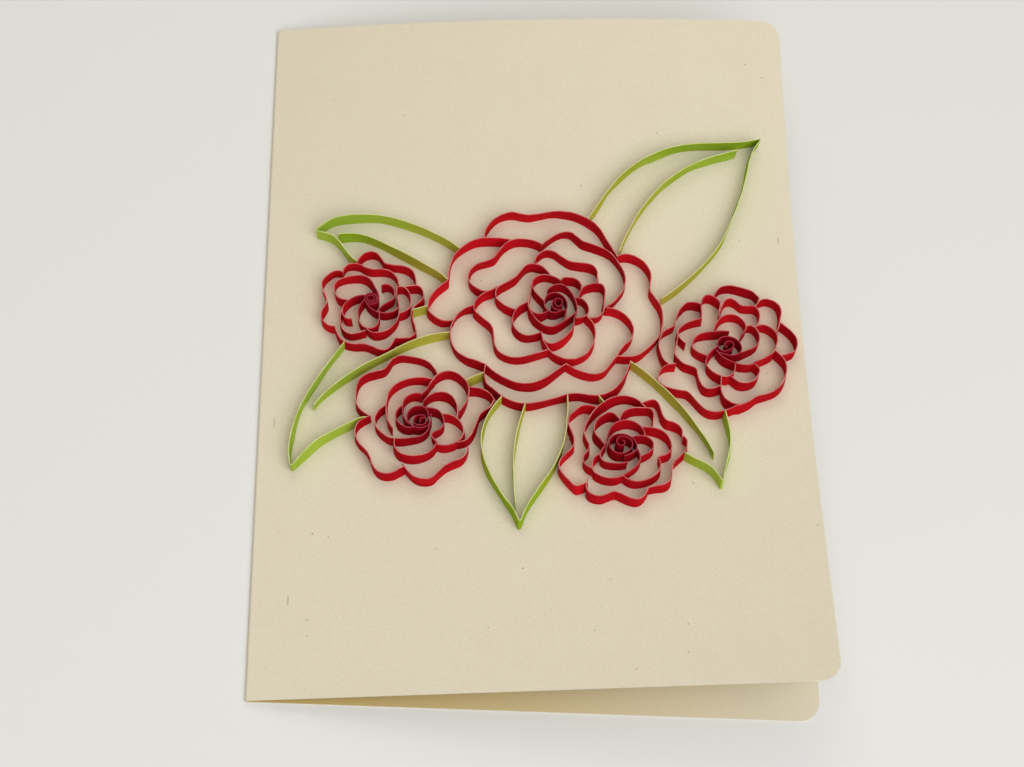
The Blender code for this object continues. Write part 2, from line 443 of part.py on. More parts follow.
LEAVES = [
    Strip("upper_right_leaf_outline", folded(
        [(63.5, 99.9), (65.3, 102.9), (67.7, 106.5), (70.3, 109.8), (73.7, 112.8), (77.6, 115.1),
         (81.6, 116.6),
         (86.2, 117.3), (91.0, 117.6), (95.4, 118.0), (99.2, 118.9)],
        [(77.0, 81.2), (79.6, 83.2), (82.9, 86.2), (86.6, 90.2), (89.6, 94.5), (91.7, 98.9), (93.3, 102.9),
         (94.6, 106.5), (95.6, 110.2), (96.5, 113.8), (97.6, 116.6), (99.2, 118.9)])),
    Strip("upper_right_leaf_midrib", [
        (69.2, 92.0), (69.8, 93.8), (71.3, 97.0), (73.3, 100.9), (76.3, 105.2), (79.6, 108.8),
        (83.6, 111.8),
        (88.2, 114.1), (94.0, 116.0)]),
    Strip("upper_left_leaf_outline", folded(
        [(37.2, 92.7), (35.0, 94.3), (32.4, 95.8), (30.0, 97.05), (27.9, 97.95), (25.3, 98.95), (22.7, 99.6),
         (19.9, 99.95), (17.5, 100.0), (15.0, 99.75), (12.9, 99.2), (11.1, 98.1), (9.9, 97.1), (9.2, 96.4)],
        [(17.3, 89.2), (16.5, 90.1), (15.4, 91.6), (14.4, 93.2), (13.3, 94.6), (12.2, 95.4), (10.7, 95.9),
         (9.2, 96.3)])),
    Strip("upper_left_leaf_midrib", [
        (13.7, 95.4), (15.2, 95.6), (17.1, 95.55), (19.1, 95.1), (21.0, 94.3), (23.1, 93.15), (27.4, 90.75),
        (31.7, 88.0), (33.9, 86.5), (34.9, 85.3)]),
    Strip("left_leaf_outline", folded(
        [(15.2, 70.6), (13.9, 68.6), (11.3, 64.5), (9.2, 60.7), (7.3, 56.4), (6.1, 51.8), (5.7, 47.8),
         (6.2, 44.4)],
        [(20.0, 55.0), (18.9, 54.7), (17.4, 53.9), (15.6, 52.9), (13.9, 51.9), (10.6, 49.8), (8.3, 47.2),
         (6.2, 44.4)])),
    Strip("left_leaf_midrib", [
        (35.3, 73.3), (31.8, 72.6), (27.8, 71.0), (23.9, 68.7), (19.2, 66.0), (15.2, 63.0), (11.9, 59.8),
        (10.1, 57.4)]),
    Strip("stem_by_upper_left_rose", [(28.8, 78.2), (31.2, 79.2)]),
    Strip("stem_by_lower_left_rose", [(39.1, 62.9), (41.9, 64.4)]),
    Strip("bottom_leaf_outline", folded(
        [(45.4, 58.9), (43.8, 56.7), (42.4, 53.7), (41.7, 50.4), (42.1, 46.4), (43.7, 41.8), (45.8, 37.8),
         (47.4, 34.7), (48.7, 31.5)],
        [(58.2, 59.2), (58.1, 56.4), (57.8, 52.6), (57.0, 48.6), (55.1, 43.9), (52.4, 39.3), (50.0, 34.9),
         (48.7, 31.5)])),
    Strip("bottom_leaf_midrib", [
        (50.0, 57.3), (49.1, 54.4), (48.1, 49.8), (47.7, 45.1), (47.8, 40.5), (48.2, 36.6), (48.6, 34.2)]),
    Strip("right_leaf_outline", folded(
        [(80.3, 46.3), (81.3, 45.7), (82.6, 45.0), (83.9, 44.2), (84.9, 43.3), (85.8, 41.9), (86.6, 40.2)],
        [(88.1, 55.9), (88.5, 53.3), (88.7, 51.0), (88.6, 48.8), (88.2, 46.8), (87.7, 44.8), (87.1, 42.5),
         (86.6, 40.2)])),
    Strip("right_leaf_midrib", [
        (70.7, 66.9), (73.7, 64.1), (77.3, 60.3), (80.5, 56.0), (83.0, 51.6), (84.2, 49.4), (85.3, 46.8)]),
    Strip("stem_by_lower_right_rose", [(64.1, 59.1), (64.9, 58.0)]),
]

ROSES = {
    "large_rose": LARGE_ROSE,
    "upper_left_rose": UPPER_LEFT_ROSE,
    "lower_left_rose": LOWER_LEFT_ROSE,
    "lower_right_rose": LOWER_RIGHT_ROSE,
    "right_rose": RIGHT_ROSE,
}


def sample_tree(paths):
    """Search tree of every sample of every path, with the number of the path that each belongs to."""
    owners = [k for k, path in enumerate(paths) for _ in path]
    tree = kdtree.KDTree(len(owners))
    for index, spot in enumerate(spot for path in paths for spot in path):
        tree.insert(spot.to_3d(), index)
    tree.balance()
    return tree, owners


def crosses(first, second, k, paths, tree, owners, offsets):
    """Whether one step of path k crosses another path."""
    middle = (first + second) / 2.0
    for _, index, _ in tree.find_range(middle.to_3d(), 2.0 * SAMPLE_STEP):
        other = paths[owners[index]]
        place = index - offsets[owners[index]]
        if owners[index] == k or place + 1 >= len(other):
            continue
        if intersect_line_line_2d(first, second, other[place], other[place + 1]):
            return True
    return False


def trim_overrun(paths):
    """Cut off what little of a strip's end was drawn across the strip that it meets."""
    tree, owners = sample_tree(paths)
    offsets = [owners.index(k) for k in range(len(paths))]
    reach = round(END_SLACK / SAMPLE_STEP)
    trimmed = []
    for k, path in enumerate(paths):
        start, stop = 0, len(path)
        for i in range(min(reach, len(path) - 2)):
            if crosses(path[i], path[i + 1], k, paths, tree, owners, offsets):
                start = i + 1
            if crosses(path[-1 - i], path[-2 - i], k, paths, tree, owners, offsets):
                stop = len(path) - 1 - i
        trimmed.append(path[start:stop])
    return trimmed


def push_away(spot, k, tree, owners):
    """Half of the step that would clear one sample of path k from its nearest neighbour."""
    found = [(distance, co) for co, index, distance in tree.find_range(spot.to_3d(), CLEARANCE)
             if owners[index] != k]
    if not found:
        return Vector((0.0, 0.0))
    distance, nearest = min(found, key=lambda item: item[0])
    return (spot - nearest.to_2d()).normalized() * (CLEARANCE - distance) / 2.0


def soften(pushes):
    """Spread each push over its neighbours, so that the paper bends instead of kinking."""
    last = len(pushes) - 1
    return [(pushes[max(i - 1, 0)] + 2.0 * push + pushes[min(i + 1, last)]) / 4.0
            for i, push in enumerate(pushes)]


def settle(paths):
    """Let strips that press together slide apart until the paper has room."""
    for _ in range(SETTLE_ROUNDS):
        tree, owners = sample_tree(paths)
        moved = []
        for k, path in enumerate(paths):
            pushes = soften([push_away(spot, k, tree, owners) for spot in path])
            moved.append([spot + push for spot, push in zip(path, pushes)])
        paths = moved
    return paths


def thin(path):
    """Keep only the samples that the path's shape needs."""
    if len(path) < 3:
        return path
    chord = path[-1] - path[0]
    if chord.length < SAMPLE_STEP:
        strays = [(spot - path[0]).length for spot in path]
    else:
        strays = [abs(chord.cross(spot - path[0])) / chord.length for spot in path]
    furthest = max(range(1, len(path) - 1), key=lambda i: strays[i])
    if strays[furthest] < CURVE_TOLERANCE:
        return [path[0], path[-1]]
    return thin(path[:furthest + 1])[:-1] + thin(path[furthest:])


def nearest_on(path, spot):
    """The point of a path that is nearest to a spot."""
    candidates = []
    for first, second in zip(path, path[1:]):
        point, part = intersect_point_line(spot, first, second)
        point = first.lerp(second, min(max(part, 0.0), 1.0))
        candidates.append(((point - spot).length, point.to_2d()))
    return min(candidates, key=lambda item: item[0])[1]


def lift(y):
    """Height of the front panel's free edge above the back panel, through the three measured heights."""
    part = y / CARD_HEIGHT
    slope = 4.0 * LIFT_MIDDLE - 3.0 * LIFT_BOTTOM - LIFT_TOP
    curve = 2.0 * (LIFT_BOTTOM + LIFT_TOP) - 4.0 * LIFT_MIDDLE
    return LIFT_BOTTOM + slope * part + curve * part * part


def front_point(x, y):
    """Point of the front panel's middle surface, x along the paper from the spine."""
    across = x / CARD_WIDTH
    spine_height = CARD_STOCK / 2.0 + 2.0 * FOLD_RADIUS
    rise = lift(y) - 2.0 * FOLD_RADIUS
    hump = HUMP_TOP * (y / CARD_HEIGHT) ** 2
    height = spine_height + rise * across + hump * 4.0 * across * (1.0 - across)
    return Vector((x * math.sqrt(1.0 - (rise / CARD_WIDTH) ** 2), y, height))


def above_front(x, y, height):
    """Point at a height square to the front panel's middle surface."""
    along = front_point(x + SAMPLE_STEP, y) - front_point(x - SAMPLE_STEP, y)
    up = front_point(x, y + SAMPLE_STEP) - front_point(x, y - SAMPLE_STEP)
    return front_point(x, y) + along.cross(up).normalized() * height


def to_world(point):
    """Metres, with the origin under the middle of the closed side, fold included."""
    fold_back = FOLD_RADIUS + CARD_STOCK / 2.0
    return (point - Vector(((CARD_WIDTH - fold_back) / 2.0, CARD_HEIGHT / 2.0, 0.0))) * MM


def make_material(name, colour, roughness):
    """Plain Principled paper."""
    material = bpy.data.materials.new(name)
    material.use_nodes = True
    shader = material.node_tree.nodes["Principled BSDF"]
    shader.inputs["Base Color"].default_value = (*colour, 1.0)
    shader.inputs["Roughness"].default_value = roughness
    shader.inputs["Metallic"].default_value = 0.0
    material.diffuse_color = (*colour, 1.0)
    return material


def add_object(name, bm, collection):
    """New object from a bmesh."""
    mesh = bpy.data.meshes.new(name)
    bm.to_mesh(mesh)
    bm.free()
    obj = bpy.data.objects.new(name, mesh)
    collection.objects.link(obj)
    return obj


def apply_modifiers(obj):
    """Replace an object's mesh with its evaluated one."""
    bpy.context.view_layer.update()
    evaluated = obj.evaluated_get(bpy.context.evaluated_depsgraph_get())
    mesh = bpy.data.meshes.new_from_object(evaluated)
    obj.modifiers.clear()
    obj.data = mesh
    mesh.name = obj.name


def thicken(obj, thickness):
    """Give a sheet its thickness, half to each side."""
    solidify = obj.modifiers.new("Thickness", "SOLIDIFY")
    solidify.thickness = thickness
    solidify.offset = 0.0
    solidify.use_even_offset = True
    apply_modifiers(obj)


def make_ribbon(name, path, collection):
    """A strip standing on its edge along a path, still flat on the sheet and in millimetres."""
    foot = CARD_STOCK / 2.0 + GLUE_LINE
    bm = bmesh.new()
    verts = [bm.verts.new((spot.x, spot.y, foot)) for spot in path]
    edges = [bm.edges.new(pair) for pair in zip(verts, verts[1:])]
    raised = bmesh.ops.extrude_edge_only(bm, edges=edges)["geom"]
    tops = [item for item in raised if isinstance(item, bmesh.types.BMVert)]
    bmesh.ops.translate(bm, verts=tops, vec=(0.0, 0.0, STRIP_WIDTH - GLUE_LINE))
    obj = add_object(name, bm, collection)
    thicken(obj, PAPER)
    return obj


def glue(carrier, strip):
    """Make a strip one body with the strip that it is glued to."""
    union = carrier.modifiers.new("Glued strip", "BOOLEAN")
    union.operation = "UNION"
    union.solver = "EXACT"
    union.object = strip
    apply_modifiers(carrier)
    bpy.data.objects.remove(strip)


def finish_mesh(obj, place, material):
    """Triangulate, carry every point to its place in the world and face it outwards."""
    bm = bmesh.new()
    bm.from_mesh(obj.data)
    bmesh.ops.triangulate(bm, faces=bm.faces[:])
    for vert in bm.verts:
        vert.co = to_world(place(vert.co))
    bmesh.ops.recalc_face_normals(bm, faces=bm.faces[:])
    bm.to_mesh(obj.data)
    bm.free()
    obj.data.materials.clear()
    obj.data.materials.append(material)


def panel_stations(steps):
    """Distance from the spine and corner inset of each column of a panel, spine first."""
    straight = CARD_WIDTH - CORNER_RADIUS
    stations = [(straight * i / steps, 0.0) for i in range(steps + 1)]
    for i in range(1, CORNER_STEPS + 1):
        turn = math.radians(90.0) * i / CORNER_STEPS
        stations.append((straight + CORNER_RADIUS * math.sin(turn), CORNER_RADIUS * (1.0 - math.cos(turn))))
    return stations


def card_columns():
    """Columns of points of the sheet: back panel from its free edge, fold, front panel to its free edge."""
    middle = CARD_STOCK / 2.0
    rows = [j / CARD_ROWS for j in range(CARD_ROWS + 1)]
    columns = []
    for x, inset in reversed(panel_stations(1)):
        columns.append([Vector((x, inset + (CARD_HEIGHT - 2.0 * inset) * row, middle)) for row in rows])
    for i in range(1, FOLD_STEPS):
        turn = math.pi * i / FOLD_STEPS
        x, z = -FOLD_RADIUS * math.sin(turn), middle + FOLD_RADIUS * (1.0 - math.cos(turn))
        columns.append([Vector((x, CARD_HEIGHT * row, z)) for row in rows])
    for x, inset in panel_stations(CARD_COLUMNS):
        columns.append([front_point(x, inset + (CARD_HEIGHT - 2.0 * inset) * row) for row in rows])
    return columns


def build_card(collection, material):
    """The folded sheet, bent from a flat grid."""
    columns = card_columns()
    last = len(columns) - 1
    bm = bmesh.new()
    bmesh.ops.create_grid(bm, x_segments=last, y_segments=CARD_ROWS, size=1.0)
    for vert in bm.verts:
        i = round((vert.co.x + 1.0) / 2.0 * last)
        j = round((vert.co.y + 1.0) / 2.0 * CARD_ROWS)
        vert.co = columns[i][j]
    obj = add_object("folded_card", bm, collection)
    thicken(obj, CARD_STOCK)
    finish_mesh(obj, lambda point: point.copy(), material)
    return obj


def build_strips(strips, paths, prefix, material, collection):
    """One object for each strip, except those glued to another, which become part of it."""
    by_name = {strip.name: path for strip, path in zip(strips, paths)}
    ribbons = {}
    for strip in strips:
        path = list(by_name[strip.name])
        if strip.onto:
            end = path[strip.end]
            path.insert(0 if strip.end == START else len(path), nearest_on(by_name[strip.onto], end))
        ribbons[strip.name] = make_ribbon(prefix + strip.name, path, collection)
    for strip in strips:
        if strip.onto:
            glue(ribbons[strip.onto], ribbons.pop(strip.name))
    for ribbon in ribbons.values():
        finish_mesh(ribbon, lambda point: above_front(*point), material)
    return list(ribbons.values())


def clear_scene():
    """Start from an empty scene."""
    for obj in list(bpy.data.objects):
        bpy.data.objects.remove(obj)


def main():
    """Build the card, then settle all strips together and stand them on it."""
    clear_scene()
    collection = bpy.data.collections.new(COLLECTION)
    bpy.context.scene.collection.children.link(collection)
    bpy.context.scene.unit_settings.system = "METRIC"
    red = make_material(*RED_PAPER)
    green = make_material(*GREEN_PAPER)
    parts = [build_card(collection, make_material(*CARD_STOCK_CREAM))]
    groups = [(name + "_", strips, red) for name, strips in ROSES.items()] + [("", LEAVES, green)]
    paths = [[spot * DRAWN_UNIT for spot in smooth(strip.route)]
             for _, strips, _ in groups for strip in strips]
    paths = [thin(path) for path in settle(trim_overrun(paths))]
    for prefix, strips, paper in groups:
        parts += build_strips(strips, paths[:len(strips)], prefix, paper, collection)
        paths = paths[len(strips):]
    holder = bpy.data.objects.new("quilled_paper_flower_card", None)
    collection.objects.link(holder)
    for part in parts:
        part.parent = holder
    print(len(parts), "parts,", sum(len(part.data.polygons) for part in parts), "facets")


if __name__ == "__main__":
    main()
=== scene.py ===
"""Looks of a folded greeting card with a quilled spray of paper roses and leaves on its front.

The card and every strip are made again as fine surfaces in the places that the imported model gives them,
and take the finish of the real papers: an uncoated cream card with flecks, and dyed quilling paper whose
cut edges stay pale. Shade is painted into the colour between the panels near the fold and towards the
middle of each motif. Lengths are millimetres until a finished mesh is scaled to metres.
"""
import logging
import math
from dataclasses import dataclass, field
from enum import Enum, auto

import bmesh
import bpy
from mathutils import Matrix, Vector, kdtree
from mathutils.geometry import interpolate_bezier, intersect_line_line_2d, intersect_point_line


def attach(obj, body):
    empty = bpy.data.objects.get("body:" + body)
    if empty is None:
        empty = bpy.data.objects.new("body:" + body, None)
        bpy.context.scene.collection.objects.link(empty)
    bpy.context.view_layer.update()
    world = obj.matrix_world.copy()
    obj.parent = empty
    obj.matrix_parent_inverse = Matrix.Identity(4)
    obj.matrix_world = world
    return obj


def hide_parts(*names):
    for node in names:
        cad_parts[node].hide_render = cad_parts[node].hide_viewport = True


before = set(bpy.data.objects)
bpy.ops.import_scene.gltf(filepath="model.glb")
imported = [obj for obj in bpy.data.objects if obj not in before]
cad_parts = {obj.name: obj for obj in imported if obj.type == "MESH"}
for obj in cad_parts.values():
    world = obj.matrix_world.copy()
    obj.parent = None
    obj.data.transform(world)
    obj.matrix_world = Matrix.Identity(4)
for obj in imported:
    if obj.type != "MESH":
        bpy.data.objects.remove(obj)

LOG = logging.getLogger("quilled_card")
MM = 0.001
BODY = "root"
# Third member of a route's point where the paper is creased.
SHARP = True


class End(Enum):
    """Which end of a strip is glued to another strip."""

    START = auto()
    END = auto()


@dataclass(frozen=True)
class Strip:
    """One paper strip: its route on the flat sheet, and the strip that one of its ends is glued to."""

    name: str
    route: list
    onto: str = ""
    end: End = End.END


@dataclass(frozen=True)
class StripStock:
    """The quilling strip as it is bought, and how it is glued down.

    The last stretch of a strip, lay_reach long, gives way so that its end lies lay_gap off another paper.
    """

    width: float = 3.2
    paper: float = 0.18
    glue_line: float = 0.08
    sample_step: float = 0.25
    folded_tip: float = 0.3
    lay_reach: float = 2.4
    lay_gap: float = 0.01


STOCK = StripStock()


def curve_through(points: list) -> list[Vector]:
    """Smooth curve through a run of points.

    Args:
        points: the points of the run, each (x, y) or (x, y, SHARP).

    Returns:
        Samples along the curve, about one sample step apart.
    """
    spots = [Vector(point[:2]) for point in points]
    last = len(spots) - 1
    headings = [(spots[min(i + 1, last)] - spots[max(i - 1, 0)]).normalized() for i in range(last + 1)]
    samples = [spots[0]]
    for i in range(last):
        reach = (spots[i + 1] - spots[i]).length
        steps = max(1, round(reach / STOCK.sample_step))
        near = spots[i] + headings[i] * reach / 3.0
        far = spots[i + 1] - headings[i + 1] * reach / 3.0
        samples += interpolate_bezier(spots[i], near, far, spots[i + 1], steps + 1)[1:]
    return [Vector(sample) for sample in samples]


def smooth(points: list) -> list[Vector]:
    """Samples along a whole route, with a crease at each point marked SHARP.

    Args:
        points: the points of the route.

    Returns:
        Samples along the route.
    """
    samples: list[Vector] = []
    run = [points[0]]
    for i, point in enumerate(points[1:], start=1):
        run.append(point)
        if len(point) == 3 or i == len(points) - 1:
            samples += curve_through(run)[1 if samples else 0:]
            run = [point]
    return samples


def spiral(x: float, y: float, inner: float, outer: float, turns: float, start_degrees: float,
           steps_per_turn: int = 16) -> list[tuple[float, float]]:
    """Route of a coil from its middle outwards, clockwise where turns is negative.

    Args:
        x: the coil's middle.
        y: the coil's middle.
        inner: radius at the coil's inner end.
        outer: radius at its outer end.
        turns: number of turns.
        start_degrees: direction of the inner end from the middle.
        steps_per_turn: points for each turn.

    Returns:
        The points of the route.
    """
    count = round(abs(turns) * steps_per_turn)
    route = []
    for i in range(count + 1):
        part = i / count
        angle = math.radians(start_degrees) + part * turns * math.tau
        radius = inner + (outer - inner) * part
        route.append((x + radius * math.cos(angle), y + radius * math.sin(angle)))
    return route


def folded(first: list, second: list) -> list[tuple]:
    """Route of a leaf outline: two sides that both run to the tip, folded there.

    Args:
        first: points of the side that is drawn towards the tip.
        second: points of the side that is drawn away from it, also given towards the tip.

    Returns:
        The points of the route.
    """
    there = smooth(first)
    back = smooth(second)
    while len(there) > 2 and (there[-1] - back[-1]).length < STOCK.folded_tip:
        there.pop()
        back.pop()
    turn = [(*there.pop(), SHARP), (*back.pop(), SHARP)]
    return [tuple(spot) for spot in there] + turn + [tuple(spot) for spot in reversed(back)]


LARGE_ROSE: list[Strip] = [
    Strip("right_petal", [
        (68.7, 90.6), (69.6, 91.1), (70.7, 91.25), (72.3, 90.8), (73.9, 89.6), (74.9, 88.0), (75.25, 86.4),
        (75.0, 84.8), (74.9, 83.2), (75.6, 81.7), (76.6, 80.0), (77.1, 78.0), (77.0, 75.3), (76.5, 73.2),
        (75.4, 71.6), (74.1, 70.2), (72.4, 68.7), (70.8, 68.05), (69.3, 68.0), (68.2, 68.0)]),
    Strip("top_petal", [
        (42.55, 94.9), (42.5, 95.8), (43.2, 97.4), (44.5, 99.0), (46.1, 100.1), (48.0, 100.65), (49.7, 100.3),
        (51.2, 100.05), (53.2, 100.3), (57.2, 100.95), (60.2, 100.6), (63.0, 99.35), (65.1, 97.5),
        (67.0, 94.0), (68.6, 90.8)], "right_petal", End.END),
    Strip("upper_left_petal", [
        (47.7, 94.4), (45.4, 94.65), (42.6, 94.65), (40.4, 94.1), (38.3, 92.65), (36.7, 90.8), (35.8, 88.5),
        (35.45, 86.2), (35.3, 85.0), (34.3, 84.1), (32.7, 82.4), (31.6, 80.3), (31.55, 78.3), (32.6, 76.9),
        (34.1, 75.95), (35.4, 75.8), (36.5, 76.1)]),
    Strip("left_inner_petal", [
        (45.0, 83.8), (44.1, 83.0), (43.0, 82.45), (41.9, 81.7), (41.0, 80.8), (40.45, 79.6), (40.45, 78.4),
        (41.2, 77.35), (42.4, 76.2), (43.5, 75.2), (44.0, 74.1), (44.2, 72.2), (44.4, 70.4), (45.2, 69.0),
        (46.7, 68.05), (48.2, 67.7), (50.2, 68.0), (52.2, 68.6), (54.1, 69.15)]),
    Strip("second_left_petal", [
        (54.3, 92.5), (53.4, 93.5), (52.0, 94.2), (50.2, 94.5), (48.5, 94.4), (47.3, 93.9), (46.1, 92.8),
        (45.2, 91.4), (44.3, 90.2), (42.9, 89.4), (41.2, 88.7), (40.0, 87.7), (39.35, 86.4), (39.3, 85.1),
        (39.8, 84.2), (40.8, 83.3), (42.0, 82.7), (42.8, 82.65)], "left_inner_petal", End.END),
    Strip("lower_left_petal", [
        (40.2, 79.3), (39.0, 78.85), (37.8, 77.9), (36.8, 76.6), (36.1, 75.1), (35.8, 73.4), (35.9, 71.7),
        (36.4, 70.1), (37.4, 68.7), (39.0, 67.65), (40.8, 67.0), (42.4, 66.3, SHARP), (44.3, 64.5),
        (46.2, 63.2), (48.3, 62.2), (50.0, 62.0), (51.8, 62.2), (53.8, 63.1), (56.0, 64.8), (57.9, 66.4)]),
    Strip("bottom_petal", [
        (42.4, 65.9), (42.3, 64.0), (42.8, 62.0), (44.0, 60.8), (45.7, 59.2), (47.8, 58.05), (50.2, 57.6),
        (53.0, 58.0), (56.0, 58.85), (58.2, 59.6), (60.1, 59.8), (62.8, 59.4), (64.6, 59.5), (66.1, 60.15),
        (67.4, 61.1), (68.5, 62.4), (69.4, 64.0), (69.95, 65.6), (70.3, 67.3)]),
    Strip("upper_right_petal", [
        (53.8, 93.1), (54.9, 94.2), (56.5, 95.45), (58.2, 96.15), (59.7, 96.1), (60.8, 95.2), (62.0, 94.15),
        (63.9, 93.45), (66.2, 92.4), (67.6, 91.3), (68.9, 89.3), (69.9, 87.1), (70.15, 85.2), (69.6, 83.2),
        (68.3, 81.1), (66.8, 79.6), (65.95, 78.9)]),
    Strip("third_top_petal", [
        (52.75, 88.9), (52.45, 89.9), (53.3, 91.1), (54.5, 91.95), (56.0, 91.75), (57.6, 90.6), (59.1, 89.55),
        (60.8, 89.2), (62.7, 89.0), (64.0, 88.4), (64.65, 87.1), (64.6, 85.7), (64.4, 84.7)]),
    Strip("small_left_petal", [
        (50.65, 80.3), (49.4, 79.35), (48.5, 78.3), (47.95, 77.0), (47.85, 75.6), (48.3, 74.3), (49.3, 73.15),
        (50.6, 72.65), (52.0, 72.85), (53.3, 73.5)]),
    Strip("crown_petal", [
        (55.5, 86.75), (54.5, 87.7), (53.3, 88.5), (51.9, 88.8), (50.6, 88.35), (49.6, 87.2), (48.6, 85.9),
        (47.2, 84.8), (45.8, 84.0), (44.9, 83.2), (44.6, 82.0), (44.9, 80.8), (45.8, 79.8), (47.0, 79.0),
        (48.3, 78.5)], "small_left_petal", End.END),
    Strip("lower_right_petal", [
        (66.3, 78.9), (67.6, 78.75), (69.0, 78.1), (70.1, 77.1), (70.95, 75.7), (71.3, 74.2), (71.05, 72.7),
        (70.4, 71.5), (69.3, 70.5), (68.4, 69.2), (67.6, 67.8), (66.8, 66.7), (65.9, 65.4), (64.9, 64.5),
        (63.3, 64.05), (61.6, 64.4), (59.8, 65.15), (58.1, 66.2)]),
    Strip("bottom_inner_petal", [
        (53.45, 73.5), (53.7, 71.9), (54.3, 70.4), (55.0, 69.2), (56.0, 68.3), (57.4, 67.6), (58.9, 67.35),
        (60.4, 67.65), (61.8, 68.5), (62.9, 69.9), (63.6, 71.6), (63.85, 73.2), (63.75, 74.7), (63.3, 75.8),
        (62.4, 77.1)]),
    Strip("cup_petal", [
        (53.9, 71.6), (55.0, 70.85), (56.3, 71.1), (57.6, 72.0), (58.7, 73.2), (59.4, 74.3), (59.65, 75.5),
        (59.75, 76.6)], "bottom_inner_petal", End.START),
    Strip("side_petal", [
        (60.8, 81.5), (61.2, 82.8), (61.9, 83.7), (63.1, 84.25), (64.4, 84.55), (65.5, 84.2), (66.0, 83.1),
        (65.95, 81.5), (65.75, 79.9), (65.7, 78.5), (65.2, 77.5), (64.2, 76.8), (62.8, 76.65)],
        "bottom_inner_petal", End.END),
    Strip("heart_left_petal", [
        (57.4, 85.0), (56.5, 85.7), (55.3, 86.2), (53.9, 86.35), (52.7, 85.9), (51.9, 85.0), (51.65, 83.7),
        (51.45, 82.3), (51.15, 80.8), (50.95, 79.4), (51.3, 78.4), (52.1, 77.7), (53.1, 77.35),
        (54.3, 77.6)]),
    Strip("small_top_petal", [
        (57.4, 84.9), (57.9, 85.6), (58.9, 85.8), (60.1, 85.6), (61.0, 84.9), (61.4, 84.0), (61.3, 83.2)],
        "heart_left_petal", End.START),
    Strip("turned_in_petal", [
        (51.8, 84.0), (52.05, 83.0), (52.5, 82.2), (53.1, 81.3), (53.5, 80.4)], "heart_left_petal",
        End.START),
    Strip("heart_lower_petal", [
        (51.1, 78.6), (51.8, 77.2), (52.6, 76.1), (53.7, 75.1), (54.8, 74.7), (55.9, 74.75), (57.1, 75.4),
        (58.3, 76.3), (59.4, 77.2), (60.1, 78.0)], "heart_left_petal", End.START),
    Strip("heart_ring", [
        (54.8, 82.9), (55.4, 83.6), (56.3, 84.1), (57.4, 84.2), (58.4, 83.7), (59.2, 82.7), (59.9, 81.4),
        (60.3, 80.1), (60.5, 78.8), (60.25, 77.6), (59.95, 76.6)]),
    Strip("small_right_petal", [
        (60.2, 81.2), (61.1, 81.2), (61.9, 80.55), (62.5, 79.6), (62.7, 78.4), (62.4, 77.3), (61.5, 76.75),
        (60.6, 76.35)], "heart_ring", End.START),
    Strip("heart_wrap", [
        (57.3, 77.85), (56.2, 77.7), (55.05, 78.05), (54.25, 78.95), (54.1, 80.2), (54.45, 81.35),
        (55.3, 82.1), (56.45, 82.25), (57.5, 81.75), (58.25, 80.8), (58.55, 79.6), (58.4, 78.4), (58.0, 77.4),
        (57.7, 76.6)]),
    Strip("heart_coil", [
        (56.3, 80.4), (56.15, 79.9), (56.35, 79.4), (56.8, 79.15), (57.3, 79.4), (57.6, 79.95), (57.55, 80.5),
        (57.2, 80.9), (56.65, 81.0), (56.1, 80.75), (55.7, 80.2), (55.6, 79.55), (55.8, 78.95),
        (56.35, 78.55), (57.1, 78.4), (57.8, 78.6)], "heart_wrap", End.END),
]

